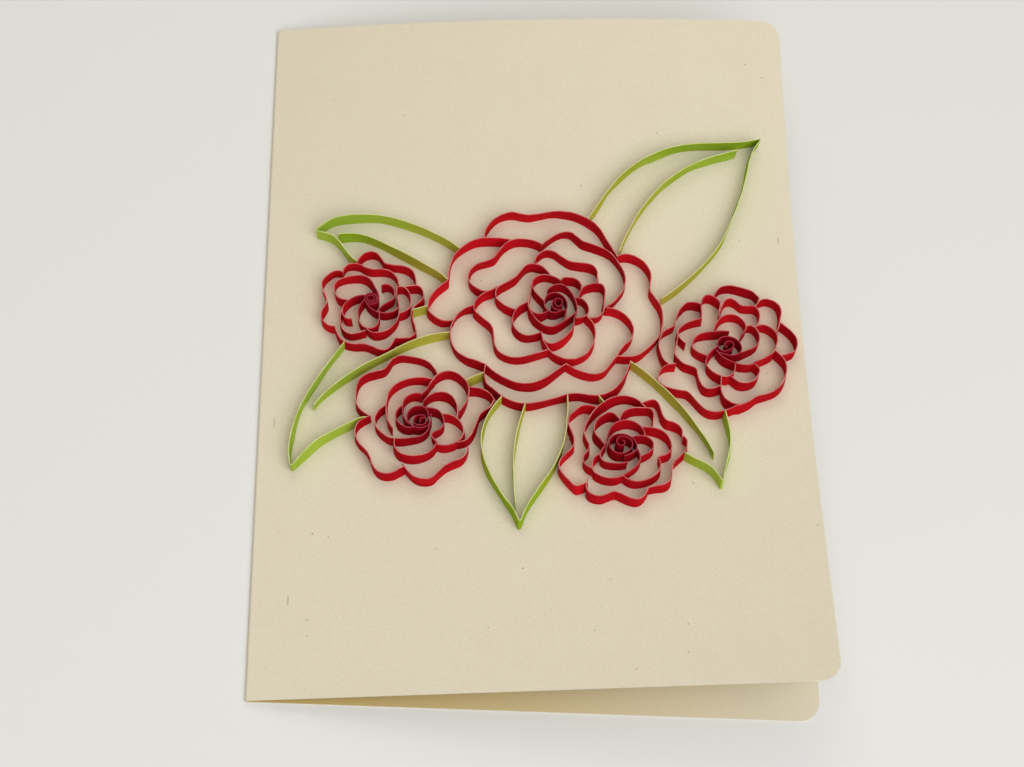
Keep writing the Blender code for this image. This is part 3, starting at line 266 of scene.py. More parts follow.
UPPER_LEFT_ROSE: list[Strip] = [
    Strip("outer_top_petal", [
        (15.0, 86.7), (15.15, 87.6), (15.8, 88.4), (16.9, 88.65), (18.2, 88.4), (19.3, 87.75), (20.6, 87.35),
        (22.0, 87.4), (23.3, 87.25), (24.5, 86.6), (25.4, 85.4), (25.85, 83.9)]),
    Strip("crest_petal", [
        (17.8, 89.1), (18.1, 90.0), (19.0, 90.95), (20.2, 91.4), (21.3, 91.1), (22.1, 90.2),
        (23.0, 88.7, SHARP), (24.5, 88.35), (26.2, 88.2), (27.7, 87.7), (28.6, 86.8), (29.05, 85.4),
        (29.2, 84.1)], "outer_top_petal", End.START),
    Strip("lower_outer_petal", [
        (13.75, 74.5), (14.0, 73.4), (14.6, 72.1), (15.6, 71.1), (17.3, 70.65), (19.3, 70.6), (21.0, 70.0),
        (22.6, 69.35), (23.8, 69.6), (24.6, 70.7), (25.1, 71.9)]),
    Strip("left_outer_petal", [
        (14.8, 86.6), (14.1, 87.0), (13.2, 86.95), (12.1, 86.2), (11.1, 85.1), (10.75, 83.9), (11.1, 82.6),
        (11.7, 81.2), (11.9, 80.1), (11.5, 79.0), (10.95, 77.9), (10.85, 76.7), (11.4, 75.6), (12.4, 74.8),
        (13.6, 74.6)], "lower_outer_petal", End.END),
    Strip("lower_right_petal", [
        (25.4, 71.9), (26.7, 71.9), (28.0, 72.0, SHARP), (29.15, 73.1), (29.0, 74.6), (28.6, 75.9),
        (28.2, 77.4)]),
    Strip("right_petal", [
        (27.35, 83.95), (28.4, 83.8), (29.5, 83.65), (30.3, 82.9), (30.6, 81.7), (30.4, 80.6), (29.6, 79.8),
        (28.8, 79.0), (28.3, 77.9)], "lower_right_petal", End.END),
    Strip("bowl_petal", [
        (25.25, 83.2), (25.35, 81.8), (25.6, 80.4), (25.85, 79.0), (25.9, 77.5), (25.55, 75.9), (24.7, 74.6),
        (23.5, 73.65), (22.1, 73.2), (20.7, 73.15), (19.6, 73.65)]),
    Strip("inner_right_petal", [
        (25.5, 83.6), (26.5, 83.5), (27.3, 82.9), (27.9, 81.8), (28.15, 80.4), (28.05, 79.1), (27.5, 78.1),
        (26.5, 77.4)], "bowl_petal", End.START),
    Strip("under_petal", [
        (19.5, 79.5), (20.6, 78.4), (22.0, 77.7), (23.5, 77.5), (24.7, 77.9), (25.6, 78.7)]),
    Strip("hook_petal", [
        (22.4, 83.7), (23.2, 83.95), (24.1, 83.7), (24.8, 82.9), (25.0, 81.8), (24.8, 80.8), (24.0, 80.1),
        (23.0, 79.4), (22.1, 78.6), (21.9, 77.9)], "under_petal", End.END),
    Strip("drop_petal", [
        (19.0, 80.5), (18.3, 79.2), (17.95, 77.8), (18.05, 76.3), (18.6, 75.0), (19.6, 74.2), (20.8, 74.15),
        (21.7, 74.9), (22.05, 76.2), (22.1, 77.5)], "under_petal", End.END),
    Strip("heart_petal", [
        (18.9, 81.8), (17.8, 81.4), (16.4, 80.6), (15.4, 79.6), (14.95, 78.4), (15.05, 77.2), (15.7, 76.3),
        (16.8, 76.2)]),
    Strip("left_bowl_petal", [
        (14.7, 78.3), (14.6, 77.2), (14.6, 75.9), (14.9, 74.6), (15.5, 73.5), (16.6, 72.9), (17.8, 73.0),
        (19.0, 73.6)], "heart_petal", End.START),
    Strip("hood_petal", [
        (22.0, 80.5), (21.75, 82.0), (21.1, 83.4), (20.5, 84.6), (19.7, 85.5), (18.4, 85.95), (16.8, 85.85),
        (15.1, 85.4), (13.8, 84.7), (13.25, 83.6), (13.35, 82.3), (13.8, 81.3), (14.6, 80.75), (15.7, 80.6)],
        "heart_petal", End.END),
    Strip("heart_coil", spiral(20.45, 80.8, 0.45, 1.55, 2.6, 200.0)),
]

LOWER_LEFT_ROSE: list[Strip] = [
    Strip("upper_petal", [
        (33.3, 64.2), (32.7, 65.4), (31.7, 66.6), (30.2, 67.4), (28.3, 67.8), (26.3, 68.0), (24.8, 67.3),
        (24.0, 66.1), (23.1, 65.05), (21.6, 64.6), (19.9, 64.0), (18.7, 63.0), (18.1, 61.5), (17.95, 59.6),
        (18.1, 57.8), (18.8, 56.5), (19.8, 55.7), (20.8, 55.3)]),
    Strip("bottom_petal", [
        (27.0, 45.1), (27.6, 43.9), (28.8, 42.4), (30.4, 41.65), (32.3, 41.75), (33.6, 43.0), (34.9, 44.3),
        (36.4, 45.15), (37.9, 45.8), (38.8, 46.8), (39.2, 48.4)]),
    Strip("left_petal", [
        (20.85, 54.8), (19.6, 54.4), (18.5, 53.6), (18.0, 52.3), (18.1, 50.8), (18.9, 49.2), (20.1, 47.8),
        (20.9, 46.4), (21.4, 44.8), (22.3, 43.45), (23.6, 42.85), (25.1, 43.0), (26.9, 44.1)], "bottom_petal",
        End.END),
    Strip("right_petal", [
        (39.7, 61.2), (41.0, 61.0), (42.4, 60.5), (43.5, 59.6), (44.2, 58.4, SHARP), (43.4, 56.9),
        (42.3, 56.0), (41.4, 55.1), (40.9, 53.8), (40.3, 52.1), (39.6, 50.6), (38.6, 49.6), (37.2, 49.1)]),
    Strip("arch_petal", [
        (30.5, 59.7), (31.4, 60.8), (32.2, 62.3), (33.1, 63.6), (34.3, 64.4), (35.6, 64.7), (37.0, 64.3),
        (38.3, 63.2), (39.1, 61.9), (39.4, 60.3), (39.1, 58.6), (38.4, 57.0), (37.8, 55.8)]),
    Strip("crescent_petal", [
        (32.5, 63.0), (30.5, 63.3), (28.7, 63.15), (27.0, 62.6), (25.4, 61.7), (24.3, 60.2), (23.8, 58.2),
        (23.75, 56.0), (24.1, 54.0), (25.1, 52.3)], "arch_petal", End.START),
    Strip("heart_top_petal", [
        (30.4, 59.6), (29.2, 59.85), (28.0, 59.4), (27.1, 58.4), (26.85, 57.0), (26.9, 55.5), (27.3, 54.2),
        (27.9, 53.3)], "arch_petal", End.START),
    Strip("inner_arch_petal", [
        (30.8, 58.2), (31.8, 59.3), (33.3, 60.0), (34.8, 60.0), (36.1, 59.3), (36.95, 57.9), (37.25, 56.3),
        (37.3, 54.7)]),
    Strip("saucer_petal", [
        (23.4, 57.3), (22.3, 56.1), (21.65, 54.5), (21.9, 52.9), (22.9, 51.5), (24.5, 50.4), (26.5, 50.1),
        (28.5, 50.3), (30.4, 50.7), (31.6, 51.8), (32.2, 53.2)]),
    Strip("lower_inner_petal", [
        (25.45, 50.2), (25.4, 48.8), (26.2, 47.4), (27.6, 46.7), (29.3, 46.5), (31.0, 46.8), (32.4, 47.6),
        (33.1, 48.8)], "saucer_petal", End.START),
    Strip("side_petal", [
        (31.5, 57.0), (32.7, 56.6), (33.8, 56.0), (34.4, 55.0), (34.7, 53.8), (34.5, 52.8), (33.8, 52.0),
        (32.9, 51.5), (32.3, 50.9), (33.2, 49.9)]),
    Strip("right_inner_petal", [
        (34.7, 55.5), (35.9, 55.2), (37.2, 54.3), (38.1, 53.0), (38.4, 51.5), (37.8, 50.0), (36.7, 49.1),
        (35.3, 48.65), (34.2, 48.75), (33.4, 49.2)], "side_petal", End.START),
    Strip("heart_coil", [
        (30.15, 53.6), (30.2, 54.15), (30.45, 54.6), (30.9, 54.55), (31.05, 54.95), (30.4, 55.15),
        (29.75, 55.05), (29.2, 54.7), (28.95, 54.05), (29.15, 53.35), (29.8, 53.0), (30.6, 53.0),
        (31.3, 53.5), (31.65, 54.4), (31.7, 55.3), (31.5, 56.1), (30.9, 56.8), (29.9, 57.05), (29.0, 56.85),
        (28.2, 56.2), (27.75, 55.3), (27.75, 54.3), (28.2, 53.35), (29.1, 52.65), (30.3, 52.4), (31.4, 52.75),
        (32.1, 53.6), (32.3, 54.6), (32.15, 55.4)]),
    Strip("heart_left_petal", [
        (28.9, 52.35), (28.0, 52.4), (27.0, 52.85), (26.1, 53.6), (25.55, 54.9), (25.7, 56.2), (26.2, 57.2)],
        "heart_coil", End.START),
]

LOWER_RIGHT_ROSE: list[Strip] = [
    Strip("bottom_petal", [
        (61.4, 41.6), (61.15, 40.2), (61.3, 38.8), (62.3, 37.85), (63.7, 37.5), (65.1, 38.0), (66.4, 38.45),
        (67.8, 37.85), (69.3, 37.0), (70.6, 36.75), (71.7, 37.4), (72.4, 38.6), (72.5, 39.1)]),
    Strip("left_petal", [
        (63.3, 57.05), (61.8, 57.2), (60.5, 56.9), (59.4, 55.9), (58.4, 54.8), (58.1, 53.6), (58.6, 51.9),
        (59.1, 50.1), (59.1, 48.7), (58.4, 47.6), (57.3, 46.4), (56.3, 45.0), (56.2, 43.7), (57.0, 42.1),
        (58.2, 40.7), (59.2, 39.75), (60.2, 40.0), (61.1, 40.5)], "bottom_petal", End.END),
    Strip("lower_right_petal", [
        (72.7, 39.3), (74.0, 39.55), (75.5, 39.85), (76.6, 40.6), (77.1, 41.8), (77.3, 43.3), (77.7, 44.6),
        (78.7, 45.7), (79.8, 46.8)]),
    Strip("tab_petal", [
        (79.55, 50.2), (80.2, 49.8), (80.45, 48.9), (80.3, 47.9), (80.0, 47.1)], "lower_right_petal",
        End.END),
    Strip("top_petal", [
        (72.9, 57.2), (71.6, 58.35), (70.0, 59.1), (68.2, 59.25), (66.4, 58.75), (64.6, 57.6), (63.0, 55.9),
        (61.8, 53.8), (61.1, 51.6), (61.4, 49.9), (61.95, 48.5), (61.6, 47.2), (60.85, 46.2), (60.8, 44.9),
        (61.4, 43.95), (62.2, 43.5)]),
    Strip("right_petal", [
        (72.4, 57.8), (73.4, 58.2), (74.5, 58.4), (75.3, 57.8), (75.75, 56.3), (76.1, 54.9), (76.8, 53.9),
        (78.0, 53.45), (79.1, 52.7), (79.65, 51.6), (79.5, 50.7)], "top_petal", End.START),
    Strip("ring_petal", [
        (65.3, 48.7), (65.35, 50.0), (65.9, 51.8), (66.9, 53.2), (68.4, 53.85), (70.0, 53.75), (71.4, 53.0),
        (72.3, 51.9), (72.7, 50.9)]),
    Strip("upper_inner_petal", [
        (67.7, 53.8), (68.2, 55.0), (69.2, 56.1), (70.7, 56.6), (72.4, 56.6), (73.7, 56.45), (74.35, 55.6),
        (74.3, 54.0), (74.2, 52.6)], "ring_petal", End.START),
    Strip("left_inner_petal", [
        (67.6, 54.3), (66.9, 55.3), (65.8, 55.55), (64.6, 54.9), (63.5, 53.7), (63.0, 52.2), (63.2, 50.9),
        (64.1, 49.7), (65.0, 48.5)]),
    Strip("heart_left_petal", [
        (64.9, 48.4), (64.3, 47.5), (63.9, 46.5), (64.1, 45.5), (65.0, 44.8), (66.4, 44.5), (67.9, 44.5),
        (69.0, 44.75)], "left_inner_petal", End.START),
    Strip("lower_inner_petal", [
        (68.1, 41.6), (69.3, 40.85), (70.8, 40.55), (72.5, 40.95), (73.9, 41.8), (74.9, 43.0), (75.15, 44.4),
        (74.8, 45.6)]),
    Strip("right_inner_petal", [
        (72.5, 52.6), (74.0, 52.3), (75.6, 51.7), (76.7, 50.6), (77.35, 49.1), (77.35, 47.6), (76.5, 46.5),
        (75.5, 46.1), (74.7, 45.9)], "lower_inner_petal", End.END),
    Strip("bowl_petal", [
        (63.5, 46.7), (62.8, 45.8), (62.4, 44.4), (62.6, 42.9), (63.7, 41.95), (65.2, 41.4), (66.8, 41.4),
        (68.2, 42.0), (69.6, 43.0), (70.8, 44.2), (71.5, 45.7), (71.5, 47.4)]),
    Strip("heart_coil", [
        (68.3, 49.5), (68.6, 49.2), (68.6, 48.75), (68.2, 48.4), (67.65, 48.45), (67.25, 48.9), (67.15, 49.5),
        (67.45, 50.1), (68.15, 50.35), (69.0, 50.2), (69.75, 49.65), (70.1, 48.85), (69.9, 47.9),
        (69.2, 47.1), (68.1, 46.65), (67.0, 46.85), (66.1, 47.5), (65.7, 48.5), (65.8, 49.6), (66.45, 50.45),
        (67.5, 50.85), (68.8, 50.75), (69.85, 50.2), (70.55, 49.4), (70.9, 48.5), (70.85, 47.6),
        (70.3, 46.95), (69.4, 46.45), (68.5, 46.1)]),
    Strip("heart_right_petal", [
        (70.4, 50.5), (71.7, 50.55), (73.1, 50.1), (74.0, 49.0), (73.9, 47.8), (73.1, 46.8), (72.1, 46.0)],
        "heart_coil", End.START),
]

RIGHT_ROSE: list[Strip] = [
    Strip("upper_right_petal", [
        (95.7, 80.2), (96.5, 81.2), (97.8, 81.45), (99.2, 81.0), (100.2, 80.0), (100.5, 78.5), (100.15, 76.8),
        (99.85, 75.2), (99.5, 74.0)]),
    Strip("top_petal", [
        (87.5, 82.1), (88.0, 83.1), (88.7, 83.95), (89.7, 84.35), (90.9, 84.45), (92.3, 84.15), (93.8, 83.7),
        (95.1, 83.2), (95.9, 82.3), (96.3, 81.7), (96.0, 81.0)], "upper_right_petal", End.END),
    Strip("left_petal", [
        (79.3, 75.0), (78.2, 74.4), (76.9, 73.5), (76.3, 72.2), (76.1, 70.6), (76.35, 69.0), (76.9, 67.5),
        (77.7, 66.8)], "upper_left_petal", End.START),
    Strip("upper_left_petal", [
        (79.5, 75.3), (79.7, 76.5), (80.1, 77.9), (80.9, 79.3), (81.9, 80.3), (83.2, 80.55), (84.4, 80.2)],
        "second_top_petal", End.END),
    Strip("second_top_petal", [
        (84.9, 76.3), (84.85, 77.8), (84.8, 79.6), (85.1, 81.2), (85.8, 82.1), (86.9, 82.1), (87.8, 81.5),
        (88.6, 80.5), (88.45, 79.3), (88.1, 78.2), (88.0, 77.2)]),
    Strip("inner_left_petal", [
        (84.5, 76.8), (83.2, 76.4), (81.6, 75.6), (80.3, 74.5), (79.85, 73.3), (80.4, 72.1), (81.3, 71.1)]),
    Strip("lower_left_petal", [
        (79.75, 72.9), (79.6, 71.4), (79.3, 69.9), (79.1, 68.6), (79.9, 67.4), (80.8, 66.5), (82.0, 66.0),
        (83.0, 65.4), (83.3, 64.0), (83.6, 62.5), (84.4, 61.2), (85.6, 60.9), (87.2, 61.6)],
        "inner_left_petal", End.START),
    Strip("bottom_left_petal", [
        (79.2, 66.5), (77.8, 66.3), (76.8, 65.8), (76.0, 64.7), (75.5, 62.7, SHARP), (76.4, 61.7),
        (77.9, 61.0), (79.6, 60.55), (81.1, 60.2), (82.0, 59.2), (83.2, 57.4), (84.6, 56.1), (86.2, 55.7),
        (87.8, 56.0), (89.1, 56.5), (90.3, 57.05), (91.4, 57.1)]),
    Strip("bottom_petal", [
        (87.65, 63.2), (87.6, 61.6), (87.65, 60.1), (88.3, 58.7), (89.6, 57.7), (91.2, 57.45), (92.7, 58.1),
        (94.3, 59.2), (96.2, 59.8), (97.8, 60.5), (99.2, 61.8), (100.2, 63.8), (100.6, 65.8), (100.4, 67.4),
        (99.6, 68.7), (98.8, 69.7)]),
    Strip("right_petal", [
        (100.3, 76.1), (101.2, 75.2), (102.3, 74.0), (103.0, 72.7), (103.15, 71.2), (102.6, 69.7),
        (101.4, 69.1), (100.1, 68.7)], "bottom_petal", End.END),
    Strip("inner_right_petal", [
        (95.2, 75.2), (96.6, 75.55), (98.0, 75.0), (99.1, 73.8), (99.35, 72.2), (98.9, 70.6), (98.2, 69.2),
        (96.8, 68.2), (95.5, 67.5), (94.5, 67.0)]),
    Strip("inner_top_petal", [
        (88.5, 78.4), (88.8, 79.6), (89.5, 81.0), (90.5, 81.5), (91.6, 81.0), (92.6, 80.0), (93.9, 79.8),
        (95.2, 79.8), (96.0, 79.0), (96.2, 77.6), (95.9, 76.3), (95.4, 75.5)], "inner_right_petal", End.END),
    Strip("heart_left_petal", [
        (90.0, 73.95), (88.3, 74.0), (86.5, 73.8), (84.8, 73.5), (83.5, 72.8), (82.75, 71.5), (82.6, 70.3),
        (83.4, 69.3), (84.7, 68.6)]),
    Strip("heart_top_petal", [
        (86.9, 74.1), (87.4, 75.5), (88.4, 76.9), (89.9, 77.75), (91.5, 77.6), (92.8, 76.5), (93.4, 75.1),
        (92.9, 73.9), (92.2, 73.0)], "heart_left_petal", End.START),
    Strip("heart_coil", [
        (89.35, 70.3), (88.95, 70.6), (88.9, 71.1), (89.25, 71.55), (89.85, 71.7), (90.4, 71.45),
        (90.65, 70.9), (90.45, 70.35), (89.9, 69.9), (89.2, 69.5), (88.5, 69.45), (87.85, 69.9), (87.5, 70.7),
        (87.6, 71.6), (88.1, 72.35), (89.0, 72.75), (90.0, 72.7), (91.0, 72.3), (91.7, 71.6), (92.1, 70.7),
        (92.1, 69.7), (91.6, 68.95), (90.8, 68.6), (89.9, 68.5), (88.8, 68.75), (87.9, 69.2), (87.35, 69.8)]),
    Strip("heart_right_petal", [
        (93.6, 75.2), (94.6, 75.25), (95.5, 74.2), (95.85, 72.8), (95.5, 71.4), (94.6, 70.4), (93.2, 69.6),
        (91.8, 68.9), (91.2, 69.0)], "heart_coil", End.END),
    Strip("heart_lower_petal", [
        (87.0, 69.4), (88.3, 68.1), (90.0, 67.1), (91.8, 66.45), (93.2, 66.4), (94.2, 66.7)]),
    Strip("lower_inner_petal", [
        (86.9, 70.4), (86.0, 69.2), (85.2, 67.8), (85.0, 66.5), (85.6, 65.4), (86.8, 64.3), (88.2, 63.7),
        (89.4, 63.8), (90.3, 64.7), (90.6, 66.3)], "heart_lower_petal", End.END),
    Strip("bottom_inner_petal", [
        (89.6, 63.75), (91.1, 62.5), (92.7, 62.3), (94.1, 62.9), (95.0, 64.2), (95.3, 65.4), (94.8, 66.2),
        (94.2, 66.6)], "heart_lower_petal", End.END),
]

LEAVES: list[Strip] = [
    Strip("upper_right_leaf_outline", folded(
        [(63.5, 99.9), (65.3, 102.9), (67.7, 106.5), (70.3, 109.8), (73.7, 112.8), (77.6, 115.1),
         (81.6, 116.6), (86.2, 117.3), (91.0, 117.6), (95.4, 118.0), (99.2, 118.9)],
        [(77.0, 81.2), (79.6, 83.2), (82.9, 86.2), (86.6, 90.2), (89.6, 94.5), (91.7, 98.9), (93.3, 102.9),
         (94.6, 106.5), (95.6, 110.2), (96.5, 113.8), (97.6, 116.6), (99.2, 118.9)])),
    Strip("upper_right_leaf_midrib", [
        (69.2, 92.0), (69.8, 93.8), (71.3, 97.0), (73.3, 100.9), (76.3, 105.2), (79.6, 108.8), (83.6, 111.8),
        (88.2, 114.1), (94.0, 116.0)]),
    Strip("upper_left_leaf_outline", folded(
        [(37.2, 92.7), (35.0, 94.3), (32.4, 95.8), (30.0, 97.05), (27.9, 97.95), (25.3, 98.95), (22.7, 99.6),
         (19.9, 99.95), (17.5, 100.0), (15.0, 99.75), (12.9, 99.2), (11.1, 98.1), (9.9, 97.1), (9.2, 96.4)],
        [(17.3, 89.2), (16.5, 90.1), (15.4, 91.6), (14.4, 93.2), (13.3, 94.6), (12.2, 95.4), (10.7, 95.9),
         (9.2, 96.3)])),
    Strip("upper_left_leaf_midrib", [
        (13.7, 95.4), (15.2, 95.6), (17.1, 95.55), (19.1, 95.1), (21.0, 94.3), (23.1, 93.15), (27.4, 90.75),
        (31.7, 88.0), (33.9, 86.5), (34.9, 85.3)]),
    Strip("left_leaf_outline", folded(
        [(15.2, 70.6), (13.9, 68.6), (11.3, 64.5), (9.2, 60.7), (7.3, 56.4), (6.1, 51.8), (5.7, 47.8),
         (6.2, 44.4)],
        [(20.0, 55.0), (18.9, 54.7), (17.4, 53.9), (15.6, 52.9), (13.9, 51.9), (10.6, 49.8), (8.3, 47.2),
         (6.2, 44.4)])),
    Strip("left_leaf_midrib", [
        (35.3, 73.3), (31.8, 72.6), (27.8, 71.0), (23.9, 68.7), (19.2, 66.0), (15.2, 63.0), (11.9, 59.8),
        (10.1, 57.4)]),
    Strip("stem_by_upper_left_rose", [(28.8, 78.2), (31.2, 79.2)]),
    Strip("stem_by_lower_left_rose", [(39.1, 62.9), (41.9, 64.4)]),
    Strip("bottom_leaf_outline", folded(
        [(45.4, 58.9), (43.8, 56.7), (42.4, 53.7), (41.7, 50.4), (42.1, 46.4), (43.7, 41.8), (45.8, 37.8),
         (47.5, 35.2), (48.75, 32.2)],
        [(58.2, 59.2), (58.1, 56.4), (57.8, 52.6), (57.0, 48.6), (55.1, 43.9), (52.4, 39.6), (50.0, 35.4),
         (48.75, 32.2)])),
    Strip("bottom_leaf_midrib", [
        (50.0, 57.3), (49.1, 54.4), (48.1, 49.8), (47.7, 45.1), (47.75, 40.5), (47.85, 38.3), (48.0, 36.2)]),
    Strip("right_leaf_outline", folded(
        [(80.3, 46.3), (81.3, 45.7), (82.6, 45.0), (83.9, 44.2), (84.9, 43.3), (85.8, 41.9), (86.6, 40.2)],
        [(88.1, 55.9), (88.5, 53.3), (88.7, 51.0), (88.6, 48.8), (88.2, 46.8), (87.7, 44.8), (87.1, 42.5),
         (86.6, 40.2)])),
    Strip("right_leaf_midrib", [
        (70.7, 66.9), (73.7, 64.1), (77.3, 60.3), (80.5, 56.0), (83.0, 51.6), (84.2, 49.4), (85.3, 46.8)]),
    Strip("stem_by_lower_right_rose", [(64.1, 59.1), (64.9, 58.0)]),
]


@dataclass(frozen=True)
class Field:
    """A number that varies over a node tree's geometry, with Python's arithmetic."""

    tree: bpy.types.NodeTree
    socket: bpy.types.NodeSocket

    def math(self, operation: str, *others: "Field | float") -> "Field":
        """Join this number and others with a Math node.

        Args:
            operation: the node's operation.
            others: the further inputs.

        Returns:
            The node's result.
        """
        node = self.tree.nodes.new("ShaderNodeMath")
        node.operation = operation
        for socket, value in zip(node.inputs, (self, *others)):
            if isinstance(value, Field):
                self.tree.links.new(value.socket, socket)
            else:
                socket.default_value = value
        return Field(self.tree, node.outputs[0])

    def __add__(self, other: "Field | float") -> "Field":
        """Sum."""
        return self.math("ADD", other)

    def __radd__(self, other: float) -> "Field":
        """Sum with a plain number first."""
        return self.math("ADD", other)

    def __sub__(self, other: "Field | float") -> "Field":
        """Difference."""
        return self.math("SUBTRACT", other)

    def __rsub__(self, other: float) -> "Field":
        """Difference from a plain number."""
        return self.math("MULTIPLY", -1.0) + other

    def __mul__(self, other: "Field | float") -> "Field":
        """Product."""
        return self.math("MULTIPLY", other)

    def __rmul__(self, other: float) -> "Field":
        """Product with a plain number first."""
        return self.math("MULTIPLY", other)

    def __truediv__(self, other: "Field | float") -> "Field":
        """Quotient."""
        return self.math("DIVIDE", other)

    def root(self) -> "Field":
        """Square root."""
        return self.math("SQRT")


@dataclass(frozen=True)
class CardShape:
    """The folded sheet: an A5 card folded once, whose front panel stands open and warped."""

    width: float = 105.0
    height: float = 148.0
    stock: float = 0.3
    corner: float = 4.0
    fold: float = 0.35
    lift_bottom: float = 22.3
    lift_middle: float = 11.5
    lift_top: float = 16.8
    hump_top: float = 2.2

    @property
    def middle(self) -> Vector:
        """Point of the flat layout that the model's origin lies under."""
        return Vector(((self.width - self.fold - self.stock / 2.0) / 2.0, self.height / 2.0, 0.0))

    def world(self, point: Vector) -> Vector:
        """A point in metres about the model's origin."""
        return (point - self.middle) * MM

    def front(self, x: float, y: float) -> Vector:
        """Point of the front panel's middle surface.

        Args:
            x: distance along the paper from the fold.
            y: distance from the bottom edge.

        Returns:
            The point, in millimetres.
        """
        across = x / self.width
        part = y / self.height
        slope = 4.0 * self.lift_middle - 3.0 * self.lift_bottom - self.lift_top
        curve = 2.0 * (self.lift_bottom + self.lift_top) - 4.0 * self.lift_middle
        rise = self.lift_bottom + slope * part + curve * part * part - 2.0 * self.fold
        hump = self.hump_top * part * part
        height = self.stock / 2.0 + 2.0 * self.fold + rise * across + hump * 4.0 * across * (1.0 - across)
        return Vector((x * math.sqrt(1.0 - (rise / self.width) ** 2), y, height))


CARD = CardShape()


@dataclass
class NodeBench:
    """A node tree under construction, with a short way to add a filled-in node."""

    tree: bpy.types.NodeTree = field(init=False)

    def node(self, kind: str, **values: object) -> bpy.types.Node:
        """Add a node and fill its inputs.

        Args:
            kind: the node's type.
            values: fields, sockets or plain values, by input name with spaces as underscores.

        Returns:
            The node.
        """
        node = self.tree.nodes.new(kind)
        for label, value in values.items():
            socket = node.inputs[label.replace("_", " ")]
            if isinstance(value, Field):
                self.tree.links.new(value.socket, socket)
            elif isinstance(value, bpy.types.NodeSocket):
                self.tree.links.new(value, socket)
            else:
                socket.default_value = value
        return node


